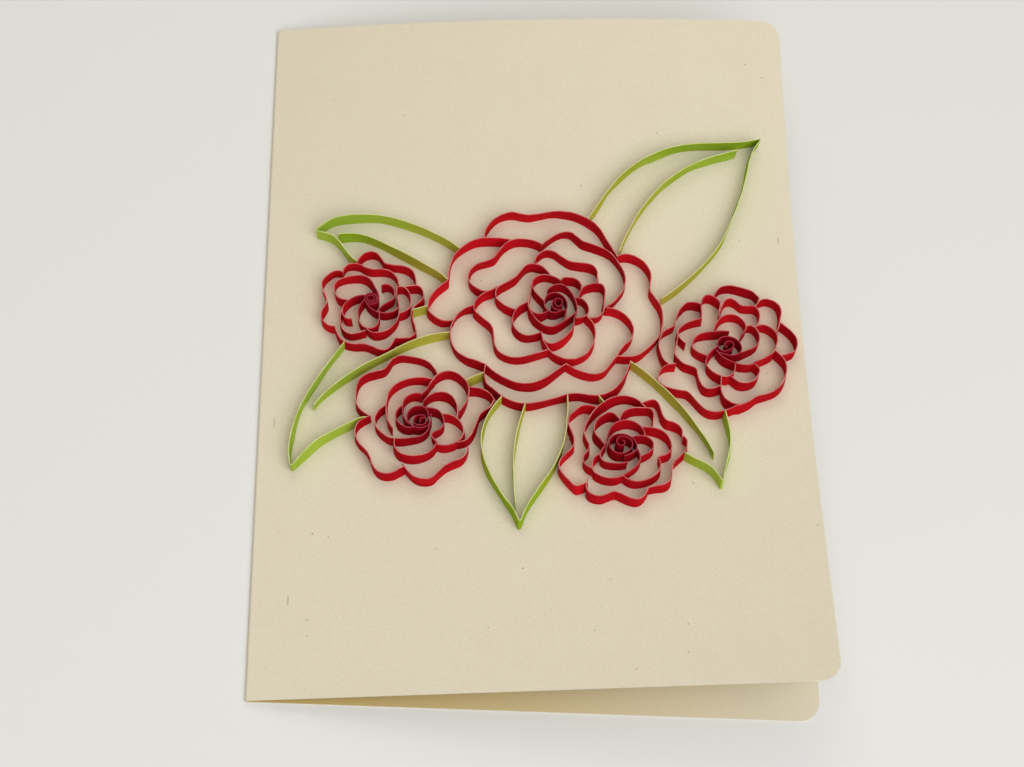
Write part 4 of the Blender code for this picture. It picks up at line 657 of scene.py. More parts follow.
@dataclass
class StripTree(NodeBench):
    """Node tree that stands strips on edge along flat routes and bends them with the front panel.

    A face counts as the paper's cut edge where it looks up or down more than edge_normal, or lies within
    cut_end of a strip's end. The feet wander with a noise of drift_scale features to the millimetre.
    """

    name: str = "stand strips on the bent panel"
    edge_normal: float = 0.7
    cut_end: float = 0.05
    drift_scale: float = 0.11
    sizes: dict = field(init=False, default_factory=dict)

    def __post_init__(self) -> None:
        """Build the tree."""
        self.tree = bpy.data.node_groups.new(self.name, "GeometryNodeTree")
        face = self.tree.interface
        face.new_socket("Routes", in_out="INPUT", socket_type="NodeSocketGeometry")
        for label, value in self.defaults().items():
            socket = face.new_socket(label, in_out="INPUT", socket_type="NodeSocketFloat")
            socket.default_value = value
            self.sizes[label] = socket.identifier
        seed = face.new_socket("Seed", in_out="INPUT", socket_type="NodeSocketInt")
        seed.default_value = 7
        self.sizes["Seed"] = seed.identifier
        for label in ("Paper Face", "Paper Edge"):
            socket = face.new_socket(label, in_out="INPUT", socket_type="NodeSocketMaterial")
            self.sizes[label] = socket.identifier
        face.new_socket("Strips", in_out="OUTPUT", socket_type="NodeSocketGeometry")
        self.inputs = self.tree.nodes.new("NodeGroupInput")
        self.wire()

    @staticmethod
    def defaults() -> dict[str, float]:
        """The named sizes that the tree takes, with the real ones as defaults."""
        return {
            "Strip Width": STOCK.width, "Paper Thickness": STOCK.paper, "Glue Line": STOCK.glue_line,
            "Card Width": CARD.width, "Card Height": CARD.height, "Card Stock": CARD.stock,
            "Fold Radius": CARD.fold, "Lift Bottom": CARD.lift_bottom, "Lift Middle": CARD.lift_middle,
            "Lift Top": CARD.lift_top, "Hump Top": CARD.hump_top, "Unevenness": 0.7,
            "Middle X": CARD.width / 2.0, "Middle Y": CARD.height / 2.0,
        }

    def size(self, label: str) -> Field:
        """One of the tree's named sizes as a field."""
        return Field(self.tree, self.inputs.outputs[label])

    def store(self, geometry: bpy.types.NodeSocket, label: str, value: Field) -> bpy.types.NodeSocket:
        """Keep a number on every point of the geometry under a name."""
        node = self.node("GeometryNodeStoreNamedAttribute", Geometry=geometry, Name=label, Value=value)
        return node.outputs[0]

    def place(self, x: Field, y: Field, z: Field) -> list[Field]:
        """Bend a point of the flat layout with the front panel.

        Args:
            x: distance along the paper from the fold.
            y: distance from the bottom edge.
            z: height square to the panel's middle surface.

        Returns:
            The three coordinates in metres about the model's origin.
        """
        width, height, fold = self.size("Card Width"), self.size("Card Height"), self.size("Fold Radius")
        bottom, middle, top = self.size("Lift Bottom"), self.size("Lift Middle"), self.size("Lift Top")
        stock = self.size("Card Stock")
        across, part = x / width, y / height
        slope = middle * 4.0 - bottom * 3.0 - top
        curve = (bottom + top) * 2.0 - middle * 4.0
        rise = bottom + slope * part + curve * part * part - fold * 2.0
        steeper = (slope + curve * part * 2.0) / height
        hump = self.size("Hump Top") * part * part
        rounder = self.size("Hump Top") * part * 2.0 / height
        shorten = (1.0 - (rise / width) * (rise / width)).root()
        shortening = rise * steeper / (width * width * shorten) * -1.0
        level = stock / 2.0 + fold * 2.0 + rise * across + hump * across * (1.0 - across) * 4.0
        tilt_x = rise / width + hump * (1.0 - across * 2.0) * 4.0 / width
        tilt_y = steeper * across + rounder * across * (1.0 - across) * 4.0
        normal = [tilt_x * -1.0, tilt_x * x * shortening - shorten * tilt_y, shorten]
        length = (normal[0] * normal[0] + normal[1] * normal[1] + normal[2] * normal[2]).root()
        surface = [x * shorten, y, level]
        middle_point = [(width - fold - stock / 2.0) / 2.0, height / 2.0, 0.0]
        return [(s + n / length * z - m) * MM for s, n, m in zip(surface, normal, middle_point)]

    def wire(self) -> None:
        """Lay the nodes from the routes to the finished strips."""
        tree = self.tree
        width, paper = self.size("Strip Width"), self.size("Paper Thickness")
        owner = self.node("GeometryNodeCurveOfPoint")
        chance = self.tree.nodes.new("FunctionNodeRandomValue")
        tree.links.new(owner.outputs["Curve Index"], chance.inputs["ID"])
        tree.links.new(self.inputs.outputs["Seed"], chance.inputs["Seed"])
        strand = Field(tree, chance.outputs[1])
        routes = self.store(self.inputs.outputs["Routes"], "strand", strand)
        along = Field(tree, self.node("GeometryNodeSplineParameter").outputs["Length"])
        whole = Field(tree, self.node("GeometryNodeSplineLength").outputs["Length"])
        routes = self.store(routes, "along", along)
        routes = self.store(routes, "to_end", along.math("MINIMUM", whole - along))
        # Distance from the motif's middle, which the paper materials use for their painted shade.
        spot = self.node("ShaderNodeSeparateXYZ", Vector=self.node("GeometryNodeInputPosition").outputs[0])
        aside = Field(tree, spot.outputs[0]) - self.size("Middle X")
        ahead = Field(tree, spot.outputs[1]) - self.size("Middle Y")
        routes = self.store(routes, "to_middle", (aside * aside + ahead * ahead).root())
        upright = self.node("GeometryNodeSetCurveNormal", Curve=routes)
        upright.mode = "Z_UP"
        profile = self.node("GeometryNodeCurvePrimitiveQuadrilateral", Width=paper,
                            Height=width - self.size("Glue Line"))
        ribbon = self.node("GeometryNodeCurveToMesh", Curve=upright.outputs[0],
                           Profile_Curve=profile.outputs[0], Fill_Caps=True)
        where = self.node("ShaderNodeSeparateXYZ", Vector=self.node("GeometryNodeInputPosition").outputs[0])
        flat = [Field(tree, socket) for socket in where.outputs]
        tall = width - self.size("Glue Line")
        rise = flat[2] / tall + 0.5
        normal = self.node("ShaderNodeSeparateXYZ", Vector=self.node("GeometryNodeInputNormal").outputs[0])
        is_edge = Field(tree, normal.outputs[2]).math("ABSOLUTE").math("GREATER_THAN", self.edge_normal)
        to_end = self.node("GeometryNodeInputNamedAttribute", Name="to_end").outputs["Attribute"]
        is_cut_end = Field(tree, to_end).math("LESS_THAN", self.cut_end)
        kept = self.store(ribbon.outputs[0], "rise", rise)
        faced = self.node("GeometryNodeSetMaterial", Geometry=kept,
                          Material=self.inputs.outputs["Paper Face"])
        edged = self.node("GeometryNodeSetMaterial", Geometry=faced.outputs[0],
                          Selection=is_edge.math("MAXIMUM", is_cut_end),
                          Material=self.inputs.outputs["Paper Edge"])
        drift = self.node("ShaderNodeTexNoise", Scale=self.drift_scale, Detail=1.0,
                          Vector=self.node("GeometryNodeInputPosition").outputs[0])
        sway = self.node("ShaderNodeSeparateXYZ", Vector=drift.outputs["Color"])
        lean = [(Field(tree, socket) - 0.5) * self.size("Unevenness") * 2.0 for socket in sway.outputs]
        foot = self.size("Card Stock") / 2.0 + self.size("Glue Line")
        below = 1.0 - rise
        bent = self.place(flat[0] + lean[0] * below, flat[1] + lean[1] * below, foot + rise * tall)
        point = self.node("ShaderNodeCombineXYZ", X=bent[0], Y=bent[1], Z=bent[2])
        moved = self.node("GeometryNodeSetPosition", Geometry=edged.outputs[0], Position=point.outputs[0])
        solid = self.node("GeometryNodeRealizeInstances", Geometry=moved.outputs[0])
        end = self.node("NodeGroupOutput")
        tree.links.new(solid.outputs[0], end.inputs[0])

    def apply(self, routes: bpy.types.Object, face: bpy.types.Material, edge: bpy.types.Material,
              middle: tuple[float, float], seed: int) -> bpy.types.Object:
        """Run the tree on a curve object and keep the result as a plain mesh object.

        Args:
            routes: curve object whose splines are the strips' routes.
            face: material of the paper's two faces.
            edge: material of its cut edges.
            middle: the motif's middle on the flat sheet.
            seed: seed of what varies from strip to strip.

        Returns:
            The mesh object, with no modifier.
        """
        modifier = routes.modifiers.new("Quilled strips", "NODES")
        modifier.node_group = self.tree
        modifier[self.sizes["Seed"]] = seed
        modifier[self.sizes["Middle X"]], modifier[self.sizes["Middle Y"]] = middle
        modifier[self.sizes["Paper Face"]] = face
        modifier[self.sizes["Paper Edge"]] = edge
        bpy.context.view_layer.update()
        evaluated = routes.evaluated_get(bpy.context.evaluated_depsgraph_get())
        mesh = bpy.data.meshes.new_from_object(evaluated)
        name = routes.name
        bpy.data.objects.remove(routes)
        mesh.name = name
        piece = bpy.data.objects.new(name, mesh)
        bpy.context.scene.collection.objects.link(piece)
        return piece


@dataclass
class Paint(NodeBench):
    """A Principled material under construction."""

    name: str
    roughness: float
    specular: float = 0.3
    material: bpy.types.Material = field(init=False)

    def __post_init__(self) -> None:
        """Start the material with its plain values set."""
        self.material = bpy.data.materials.new(self.name)
        self.material.use_nodes = True
        self.tree = self.material.node_tree
        self.shader = self.tree.nodes["Principled BSDF"]
        self.shader.inputs["Roughness"].default_value = self.roughness
        self.shader.inputs["Specular IOR Level"].default_value = self.specular

    def coordinates(self) -> bpy.types.NodeSocket:
        """Object coordinates, in metres."""
        return self.node("ShaderNodeTexCoord").outputs["Object"]

    def attribute(self, name: str) -> Field:
        """A number kept on the mesh under a name."""
        node = self.tree.nodes.new("ShaderNodeAttribute")
        node.attribute_name = name
        return Field(self.tree, node.outputs["Fac"])

    def noise(self, coordinates: bpy.types.NodeSocket, size: float, detail: float = 3.0,
              unit: float = MM) -> Field:
        """Noise whose features have a real size.

        Args:
            coordinates: where the noise is read.
            size: size of its features.
            detail: number of finer layers.
            unit: length of one unit of size in the coordinates.

        Returns:
            The noise, about 0.5 on average.
        """
        node = self.node("ShaderNodeTexNoise", Vector=coordinates, Scale=1.0 / (size * unit), Detail=detail)
        return Field(self.tree, node.outputs[0])

    def step(self, value: Field, low: float, high: float) -> Field:
        """Smooth step of a number from 0 at low to 1 at high."""
        node = self.node("ShaderNodeMapRange", Value=value, From_Min=low, From_Max=high)
        node.interpolation_type = "SMOOTHSTEP"
        return Field(self.tree, node.outputs[0])

    def blend(self, part: Field, first: object, second: object) -> bpy.types.NodeSocket:
        """Mix two colours.

        Args:
            part: share of the second colour.
            first: colour or socket.
            second: colour or socket.

        Returns:
            The mixed colour.
        """
        node = self.tree.nodes.new("ShaderNodeMix")
        node.data_type = "RGBA"
        self.tree.links.new(part.socket, node.inputs[0])
        for socket, value in ((node.inputs[6], first), (node.inputs[7], second)):
            if isinstance(value, bpy.types.NodeSocket):
                self.tree.links.new(value, socket)
            else:
                socket.default_value = (*value, 1.0)
        return node.outputs[2]

    def finish(self, colour: bpy.types.NodeSocket, height: Field, depth: float) -> bpy.types.Material:
        """Join the colour and the relief to the shader.

        Args:
            colour: the surface's colour.
            height: its relief, from 0 to 1.
            depth: depth of the relief in millimetres.

        Returns:
            The finished material.
        """
        bump = self.node("ShaderNodeBump", Height=height, Strength=1.0, Distance=depth * MM)
        self.tree.links.new(bump.outputs[0], self.shader.inputs["Normal"])
        self.tree.links.new(colour, self.shader.inputs["Base Color"])
        return self.material


@dataclass(frozen=True)
class CardStockFinish:
    """Uncoated cream card: faint clouds, a fine tooth, and a few dark specks and fibres in the pulp."""

    colour: tuple[float, float, float] = (0.79, 0.725, 0.57)
    cloud: tuple[float, float, float] = (0.735, 0.665, 0.51)
    # Painted shade: faces between the panels turn darker and warmer towards the fold.
    inner: tuple[float, float, float] = (0.60, 0.45, 0.17)
    speck: tuple[float, float, float] = (0.28, 0.21, 0.13)
    cloud_size: float = 9.0
    cloud_share: float = 0.15
    tooth_size: float = 0.28
    pulp_band: tuple[float, float] = (0.33, 0.67)
    relief: float = 0.025
    speck_spacing: float = 3.2
    speck_size: float = 0.2
    speck_share: float = 0.75
    fibre_stretch: float = 7.0
    fibre_share: float = 0.3
    fibre_strength: float = 0.7
    fibre_turns: tuple[float, float] = (35.0, 118.0)
    # Reach of the painted shade between the panels, in millimetres from the fold.
    painted_shade_reach: float = 120.0

    def specks(self, paint: Paint, turn: float, stretch: float, share: float) -> Field:
        """Specks or fibres of many sizes, one here and there.

        Args:
            paint: the material.
            turn: direction of the fibres, in degrees.
            stretch: how many times longer than wide they are.
            share: share of the places that hold one.

        Returns:
            1 on a speck, 0 elsewhere.
        """
        turned = paint.node("ShaderNodeMapping", Vector=paint.coordinates(),
                            Rotation=(0.0, 0.0, math.radians(turn)), Scale=(1.0, 1.0 / stretch, 1.0),
                            Location=(MM * turn, 2.0 * MM, 0.0))
        cells = paint.node("ShaderNodeTexVoronoi", Vector=turned.outputs[0],
                           Scale=1.0 / (self.speck_spacing * MM))
        chance = paint.node("ShaderNodeSeparateColor", Color=cells.outputs["Color"])
        size = Field(paint.tree, chance.outputs[0]) * (self.speck_size / self.speck_spacing)
        held = Field(paint.tree, chance.outputs[1]).math("LESS_THAN", share)
        near = Field(paint.tree, cells.outputs["Distance"]).math("LESS_THAN", size)
        return near * held * Field(paint.tree, chance.outputs[2])

    def fold_shade_mask(self, paint: Paint) -> Field:
        """Mask of the painted shade: 1 between the panels at the fold, 0 outside and away from the fold."""
        place = paint.node("ShaderNodeSeparateXYZ", Vector=paint.coordinates())
        from_fold = Field(paint.tree, place.outputs[0]) / MM + CARD.middle.x
        return paint.attribute("inside") * (1.0 - paint.step(from_fold, 0.0, self.painted_shade_reach))

    def make(self) -> bpy.types.Material:
        """The material."""
        paint = Paint("cream_card_stock", roughness=0.88, specular=0.2)
        clouds = paint.noise(paint.coordinates(), self.cloud_size, 5.0)
        tooth = paint.noise(paint.coordinates(), self.tooth_size, 2.0)
        pulp = paint.step(clouds * self.cloud_share + tooth * (1.0 - self.cloud_share), *self.pulp_band)
        colour = paint.blend(pulp, self.colour, self.cloud)
        # Painted shade between the panels near the fold.
        colour = paint.blend(self.fold_shade_mask(paint), colour, self.inner)
        marks = self.specks(paint, 0.0, 1.0, self.speck_share)
        for turn in self.fibre_turns:
            fibres = self.specks(paint, turn, self.fibre_stretch, self.fibre_share)
            marks = marks.math("MAXIMUM", fibres * self.fibre_strength)
        return paint.finish(paint.blend(marks, colour, self.speck), tooth, self.relief)


@dataclass(frozen=True)
class DyedPaperFinish:
    """Quilling paper dyed on its faces, whose cut edges show the paler fibres inside.

    Towards the middle of a motif the faces and cut edges are painted darker: painted shade makes the hearts
    of the roses a deeper red, and the leaves are olive where they meet the large rose, partly a real change
    of dye and partly painted red bounce light and shade. Each change is whole within the first of its two
    distances from the middle, and gone at the second.
    """

    name: str
    colour: tuple[float, float, float]
    deeper: tuple[float, float, float]
    # The inner colours and reaches paint shade towards the motif's middle; on the leaves partly real dye,
    # partly painted red bounce light and shade.
    inner: tuple[float, float, float]
    painted_shade_reach: tuple[float, float]
    edge: tuple[float, float, float]
    edge_shade: tuple[float, float, float]
    edge_inner: tuple[float, float, float]
    edge_reach: tuple[float, float]
    painted_shade_share: float = 0.85
    fibre_size: float = 0.22
    fibre_squeeze: float = 0.3
    strand_shift: float = 90.0
    pale_fibres: tuple[float, float] = (0.6, 0.9)
    pale_fibre_share: float = 0.1
    cloud_size: float = 2.5
    cloud_weight: float = 0.8
    strand_weight: float = 0.5
    uneven_band: tuple[float, float] = (0.35, 0.95)
    fray: float = 0.05
    fray_wander: float = 0.03
    fray_share: float = 0.4
    face_relief: float = 0.014
    patch_size: float = 2.2
    patch_share: float = 0.6
    patch_band: tuple[float, float] = (0.4, 0.6)
    edge_relief: float = 0.03

    def along_strip(self, paint: Paint) -> bpy.types.NodeSocket:
        """Coordinates that follow the strip, in millimetres, different on each strip."""
        node = paint.node("ShaderNodeCombineXYZ", X=paint.attribute("along") * self.fibre_squeeze,
                          Y=paint.attribute("rise") * STOCK.width,
                          Z=paint.attribute("strand") * self.strand_shift)
        return node.outputs[0]

    def middle_shade_mask(self, paint: Paint, reach: tuple[float, float]) -> Field:
        """Mask of the painted shade: 1 within the first distance from the motif's middle, 0 beyond the
        second.
        """
        return 1.0 - paint.step(paint.attribute("to_middle"), *reach)

    def face(self) -> bpy.types.Material:
        """Material of the paper's two faces."""
        paint = Paint(self.name + "_face", roughness=0.75, specular=0.05)
        where = self.along_strip(paint)
        fibres = paint.noise(where, self.fibre_size, 3.0, unit=1.0)
        clouds = paint.noise(where, self.cloud_size, 2.0, unit=1.0)
        uneven = paint.step(clouds * self.cloud_weight + paint.attribute("strand") * self.strand_weight,
                            *self.uneven_band)
        colour = paint.blend(uneven, self.colour, self.deeper)
        # Painted shade towards the motif's middle: deeper red in the rose hearts, olive on the leaves near
        # the large rose, partly real dye and partly painted red bounce light and shade.
        near = self.middle_shade_mask(paint, self.painted_shade_reach)
        colour = paint.blend(near * self.painted_shade_share, colour, self.inner)
        pale = paint.step(fibres, *self.pale_fibres)
        colour = paint.blend(pale * self.pale_fibre_share, colour, self.edge)
        frayed = paint.attribute("rise") + (fibres - 0.5) * self.fray_wander
        brink = paint.step(frayed, 1.0 - self.fray / STOCK.width, 1.0)
        colour = paint.blend(brink * self.fray_share, colour, self.edge_shade)
        return paint.finish(colour, fibres, self.face_relief)

    def cut_edge(self) -> bpy.types.Material:
        """Material of its cut edges."""
        paint = Paint(self.name + "_cut_edge", roughness=0.85, specular=0.05)
        fibres = paint.noise(paint.coordinates(), self.fibre_size, 3.0)
        patches = paint.noise(paint.coordinates(), self.patch_size, 2.0)
        uneven = paint.step(fibres * (1.0 - self.patch_share) + patches * self.patch_share,
                            *self.patch_band)
        colour = paint.blend(uneven, self.edge, self.edge_shade)
        # Painted shade on the cut edges towards the motif's middle, as on the faces.
        colour = paint.blend(self.middle_shade_mask(paint, self.edge_reach), colour, self.edge_inner)
        return paint.finish(colour, fibres, self.edge_relief)


# The inner colours are painted shade towards each motif's middle: deeper red in the rose hearts, and olive on
# the leaves near the large rose, partly real dye and partly painted red bounce light and shade.
RED = DyedPaperFinish("red_quilling_paper", colour=(0.64, 0.006, 0.015), deeper=(0.42, 0.0015, 0.008),
                      inner=(0.30, 0.001, 0.009), painted_shade_reach=(1.6, 6.5),
                      edge=(0.74, 0.27, 0.24), edge_shade=(0.58, 0.10, 0.11),
                      edge_inner=(0.40, 0.035, 0.06), edge_reach=(1.0, 8.5))
GREEN = DyedPaperFinish("green_quilling_paper", colour=(0.41, 0.555, 0.065), deeper=(0.295, 0.445, 0.016),
                        inner=(0.53, 0.47, 0.06), painted_shade_reach=(20.0, 46.0),
                        edge=(0.74, 0.78, 0.36), edge_shade=(0.56, 0.66, 0.2),
                        edge_inner=(0.70, 0.62, 0.30), edge_reach=(20.0, 46.0))


def nearest_on(path: list[Vector], spot: Vector) -> Vector:
    """The point of a path that is nearest to a spot."""
    candidates = []
    for first, second in zip(path, path[1:]):
        _, part = intersect_point_line(spot, first, second)
        point = first.lerp(second, min(max(part, 0.0), 1.0))
        candidates.append(((point - spot).length, point))
    return min(candidates, key=lambda item: item[0])[1]


def laid_against(path: list[Vector], touch: Vector) -> list[Vector]:
    """Ease the last stretch of a strip over, so that its end lies against another strip.

    Args:
        path: the strip's route.
        touch: the point of the other strip's route that the end lies against.

    Returns:
        The eased route.
    """
    gap = touch - path[-1]
    square = abs((path[-1] - path[-2]).normalized().dot(gap.normalized()))
    stand_off = STOCK.paper * (1.0 - square / 2.0) + STOCK.lay_gap
    if gap.length <= stand_off:
        return path
    shift = gap.normalized() * (gap.length - stand_off)
    eased, walked = list(path), 0.0
    for i in range(len(path) - 1, 0, -1):
        eased[i] = path[i] + shift * (1.0 - walked / STOCK.lay_reach) ** 2
        walked += (path[i] - path[i - 1]).length
        if walked >= STOCK.lay_reach:
            break
    return eased


@dataclass
class Layout:
    """Routes of all strips on the flat sheet, settled so that each paper has room."""

    paths: list[list[Vector]]
    clearance: float = 0.34
    end_slack: float = 1.2
    end_reach: float = 0.85
    rounds: int = 40
    tree: kdtree.KDTree = field(init=False)
    owners: list[int] = field(init=False)

    def __post_init__(self) -> None:
        """Trim the ends, let the papers slide apart, then lay each end against what it nearly touches."""
        self.index()
        self.trim_overrun()
        for _ in range(self.rounds):
            self.index()
            self.paths = [self.moved(k, path) for k, path in enumerate(self.paths)]
        self.index()
        self.paths = [self.with_ends_laid(k, path) for k, path in enumerate(self.paths)]

    def index(self) -> None:
        """Search tree of every sample of every path, with the number of the path that each belongs to."""
        self.owners = [k for k, path in enumerate(self.paths) for _ in path]
        self.tree = kdtree.KDTree(len(self.owners))
        for index, spot in enumerate(spot for path in self.paths for spot in path):
            self.tree.insert(spot.to_3d(), index)
        self.tree.balance()

    def crosses(self, first: Vector, second: Vector, k: int, offsets: list[int]) -> bool:
        """Whether one step of path k crosses another path.

        Args:
            first: start of the step.
            second: its end.
            k: number of its path.
            offsets: number of each path's first sample.

        Returns:
            True where it crosses one.
        """
        middle = (first + second) / 2.0
        for _, index, _ in self.tree.find_range(middle.to_3d(), 2.0 * STOCK.sample_step):
            other = self.paths[self.owners[index]]
            place = index - offsets[self.owners[index]]
            if self.owners[index] == k or place + 1 >= len(other):
                continue
            if intersect_line_line_2d(first, second, other[place], other[place + 1]):
                return True
        return False

    def trim_overrun(self) -> None:
        """Cut off what little of a strip's end was drawn across the strip that it meets."""
        offsets = [self.owners.index(k) for k in range(len(self.paths))]
        reach = round(self.end_slack / STOCK.sample_step)
        trimmed = []
        for k, path in enumerate(self.paths):
            start, stop = 0, len(path)
            for i in range(min(reach, len(path) - 2)):
                if self.crosses(path[i], path[i + 1], k, offsets):
                    start = i + 1
                if self.crosses(path[-1 - i], path[-2 - i], k, offsets):
                    stop = len(path) - 1 - i
            trimmed.append(path[start:stop])
        self.paths = trimmed

    def push_away(self, spot: Vector, k: int) -> Vector:
        """Half of the step that would clear one sample of path k from its nearest neighbour."""
        found = [(distance, co) for co, index, distance in self.tree.find_range(spot.to_3d(), self.clearance)
                 if self.owners[index] != k]
        if not found:
            return Vector((0.0, 0.0))
        distance, nearest = min(found, key=lambda item: item[0])
        return (spot - nearest.to_2d()).normalized() * (self.clearance - distance) / 2.0

    def moved(self, k: int, path: list[Vector]) -> list[Vector]:
        """A path after one round of pushes, each spread over its neighbours so that the paper bends."""
        pushes = [self.push_away(spot, k) for spot in path]
        last = len(pushes) - 1
        return [spot + (pushes[max(i - 1, 0)] + 2.0 * pushes[i] + pushes[min(i + 1, last)]) / 4.0
                for i, spot in enumerate(path)]

    def with_ends_laid(self, k: int, path: list[Vector]) -> list[Vector]:
        """A path whose ends lie against any other strip within their reach."""
        for _ in (End.END, End.START):
            near = self.tree.find_range(path[-1].to_3d(), self.end_reach)
            others = [(distance, self.owners[index]) for _, index, distance in near
                      if self.owners[index] != k]
            if others:
                path = laid_against(path, nearest_on(self.paths[min(others)[1]], path[-1]))
            path = path[::-1]
        return path


@dataclass
class QuilledMotif:
    """A rose, or all of the leaves: strips of one paper on edge, which touch where they are glued."""

    name: str
    strips: list[Strip]
    middle: tuple[float, float]
    finish: DyedPaperFinish = RED
    crease_degrees: float = 50.0
    paths: list[list[Vector]] = field(init=False, default_factory=list)

    def packed_nodes(self) -> list[str]:
        """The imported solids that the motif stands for: its strips' own, or else those under its name."""
        own = [strip.name for strip in self.strips if strip.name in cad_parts]
        return own or [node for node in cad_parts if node.startswith(self.name + "_")]

    def routes(self) -> list[list[Vector]]:
        """The strips' routes, with each glued end carried on to the face of the strip that holds it."""
        by_name = {strip.name: path for strip, path in zip(self.strips, self.paths)}
        routes = []
        for strip in self.strips:
            path = by_name[strip.name]
            if strip.onto:
                order = -1 if strip.end is End.START else 1
                path = path[::order]
                path = laid_against(path, nearest_on(by_name[strip.onto], path[-1]))[::order]
            routes.append(path)
        return routes

    def curve(self) -> bpy.types.Object:
        """Curve object with one poly spline for each strip, flat on the sheet."""
        curve = bpy.data.curves.new(self.name, "CURVE")
        curve.dimensions = "3D"
        for route in self.routes():
            spline = curve.splines.new("POLY")
            spline.points.add(len(route) - 1)
            for point, spot in zip(spline.points, route):
                point.co = (spot.x, spot.y, 0.0, 1.0)
        piece = bpy.data.objects.new(self.name, curve)
        bpy.context.scene.collection.objects.link(piece)
        return piece

    def build(self, tree: StripTree, face: bpy.types.Material, edge: bpy.types.Material,
              seed: int) -> bpy.types.Object:
        """Make the motif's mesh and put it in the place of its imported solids.

        Args:
            tree: the node tree that stands the strips.
            face: material of the paper's faces.
            edge: material of its cut edges.
            seed: seed of what varies from strip to strip.

        Returns:
            The piece.
        """
        piece = tree.apply(self.curve(), face, edge, self.middle, seed)
        piece.data.shade_smooth()
        piece.data.set_sharp_from_angle(angle=math.radians(self.crease_degrees))
        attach(piece, BODY)
        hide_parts(*self.packed_nodes())
        return piece


MOTIFS: list[QuilledMotif] = [
    QuilledMotif("large_rose", LARGE_ROSE, (56.9, 79.9)),
    QuilledMotif("upper_left_rose", UPPER_LEFT_ROSE, (20.45, 80.8)),
    QuilledMotif("lower_left_rose", LOWER_LEFT_ROSE, (30.2, 54.5)),
    QuilledMotif("lower_right_rose", LOWER_RIGHT_ROSE, (68.3, 48.8)),
    QuilledMotif("right_rose", RIGHT_ROSE, (89.8, 70.8)),
    QuilledMotif("leaf_spray", LEAVES, (57.0, 80.0), GREEN),
]


@dataclass
class FoldedCard:
    """The sheet itself: flat back panel, rounded fold and warped front panel in one piece."""

    shape: CardShape = CARD
    rows: int = 96
    front_columns: int = 72
    back_columns: int = 24
    fold_steps: int = 12
    corner_steps: int = 10
    crease_degrees: float = 40.0
    facing: float = 0.5

    def stations(self, steps: int) -> list[tuple[float, float]]:
        """Columns of a panel, spine first.

        Args:
            steps: number of columns up to the rounded corners.

        Returns:
            Distance from the spine and corner inset of each.
        """
        shape = self.shape
        straight = shape.width - shape.corner
        found = [(straight * i / steps, 0.0) for i in range(steps + 1)]
        for i in range(1, self.corner_steps + 1):
            turn = math.radians(90.0) * i / self.corner_steps
            found.append((straight + shape.corner * math.sin(turn), shape.corner * (1.0 - math.cos(turn))))
        return found

    def columns(self) -> list[list[Vector]]:
        """Columns of points of the middle surface: back panel from its free edge, fold, front panel."""
        shape = self.shape
        middle = shape.stock / 2.0
        parts = [j / self.rows for j in range(self.rows + 1)]
        found = []
        for x, inset in reversed(self.stations(self.back_columns)):
            found.append([Vector((x, inset + (shape.height - 2.0 * inset) * part, middle)) for part in parts])
        for i in range(1, self.fold_steps):
            turn = math.pi * i / self.fold_steps
            x, z = -shape.fold * math.sin(turn), middle + shape.fold * (1.0 - math.cos(turn))
            found.append([Vector((x, shape.height * part, z)) for part in parts])
        for x, inset in self.stations(self.front_columns):
            found.append([shape.front(x, inset + (shape.height - 2.0 * inset) * part) for part in parts])
        return found

    def looks_inwards(self, face: bpy.types.MeshPolygon) -> bool:
        """Whether a face of the finished sheet lies between the two panels."""
        centre = face.center / MM + self.shape.middle
        if centre.x < 0.0:
            return face.normal.x > self.facing
        if centre.z > self.shape.stock + self.shape.fold:
            return face.normal.z < -self.facing
        return face.normal.z > self.facing

    def build(self, stock: bpy.types.Material) -> bpy.types.Object:
        """Make the card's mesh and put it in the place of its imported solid.

        Args:
            stock: material of the card.

        Returns:
            The piece.
        """
        columns = self.columns()
        bm = bmesh.new()
        grid = [[bm.verts.new(self.shape.world(point)) for point in column] for column in columns]
        for left, right in zip(grid, grid[1:]):
            for j in range(self.rows):
                bm.faces.new((left[j], right[j], right[j + 1], left[j + 1]))
        bmesh.ops.recalc_face_normals(bm, faces=bm.faces[:])
        mesh = bpy.data.meshes.new("folded_card_sheet")
        bm.to_mesh(mesh)
        bm.free()
        piece = bpy.data.objects.new("folded_card_sheet", mesh)
        bpy.context.scene.collection.objects.link(piece)
        solidify = piece.modifiers.new("Card stock", "SOLIDIFY")
        solidify.thickness = self.shape.stock * MM
        solidify.offset = 0.0
        bpy.context.view_layer.update()
        evaluated = piece.evaluated_get(bpy.context.evaluated_depsgraph_get())
        solid = bpy.data.meshes.new_from_object(evaluated)
        piece.modifiers.clear()
        piece.data = solid
        bpy.data.meshes.remove(mesh)
        solid.name = "folded_card_sheet"
        # Faces between the panels, where the card's material paints shade near the fold.
        inside = solid.attributes.new("inside", "FLOAT", "FACE")
        for face in solid.polygons:
            inside.data[face.index].value = float(self.looks_inwards(face))
        solid.materials.append(stock)
        solid.shade_smooth()
        solid.set_sharp_from_angle(angle=math.radians(self.crease_degrees))
        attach(piece, BODY)
        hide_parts("folded_card")
        return piece


@dataclass(frozen=True)
class Lamp:
    """A soft square lamp that points at the card's middle: metres from there, side in metres, watts."""

    name: str
    place: tuple[float, float, float]
    side: float
    power: float
    colour: tuple[float, float, float]

    def build(self) -> None:
        """Add the lamp."""
        data = bpy.data.lights.new(self.name, "AREA")
        data.shape = "SQUARE"
        data.size = self.side
        data.energy = self.power
        data.color = self.colour
        lamp = bpy.data.objects.new(self.name, data)
        lamp.location = self.place
        lamp.rotation_euler = Vector(self.place).to_track_quat("Z", "Y").to_euler()
        bpy.context.scene.collection.objects.link(lamp)


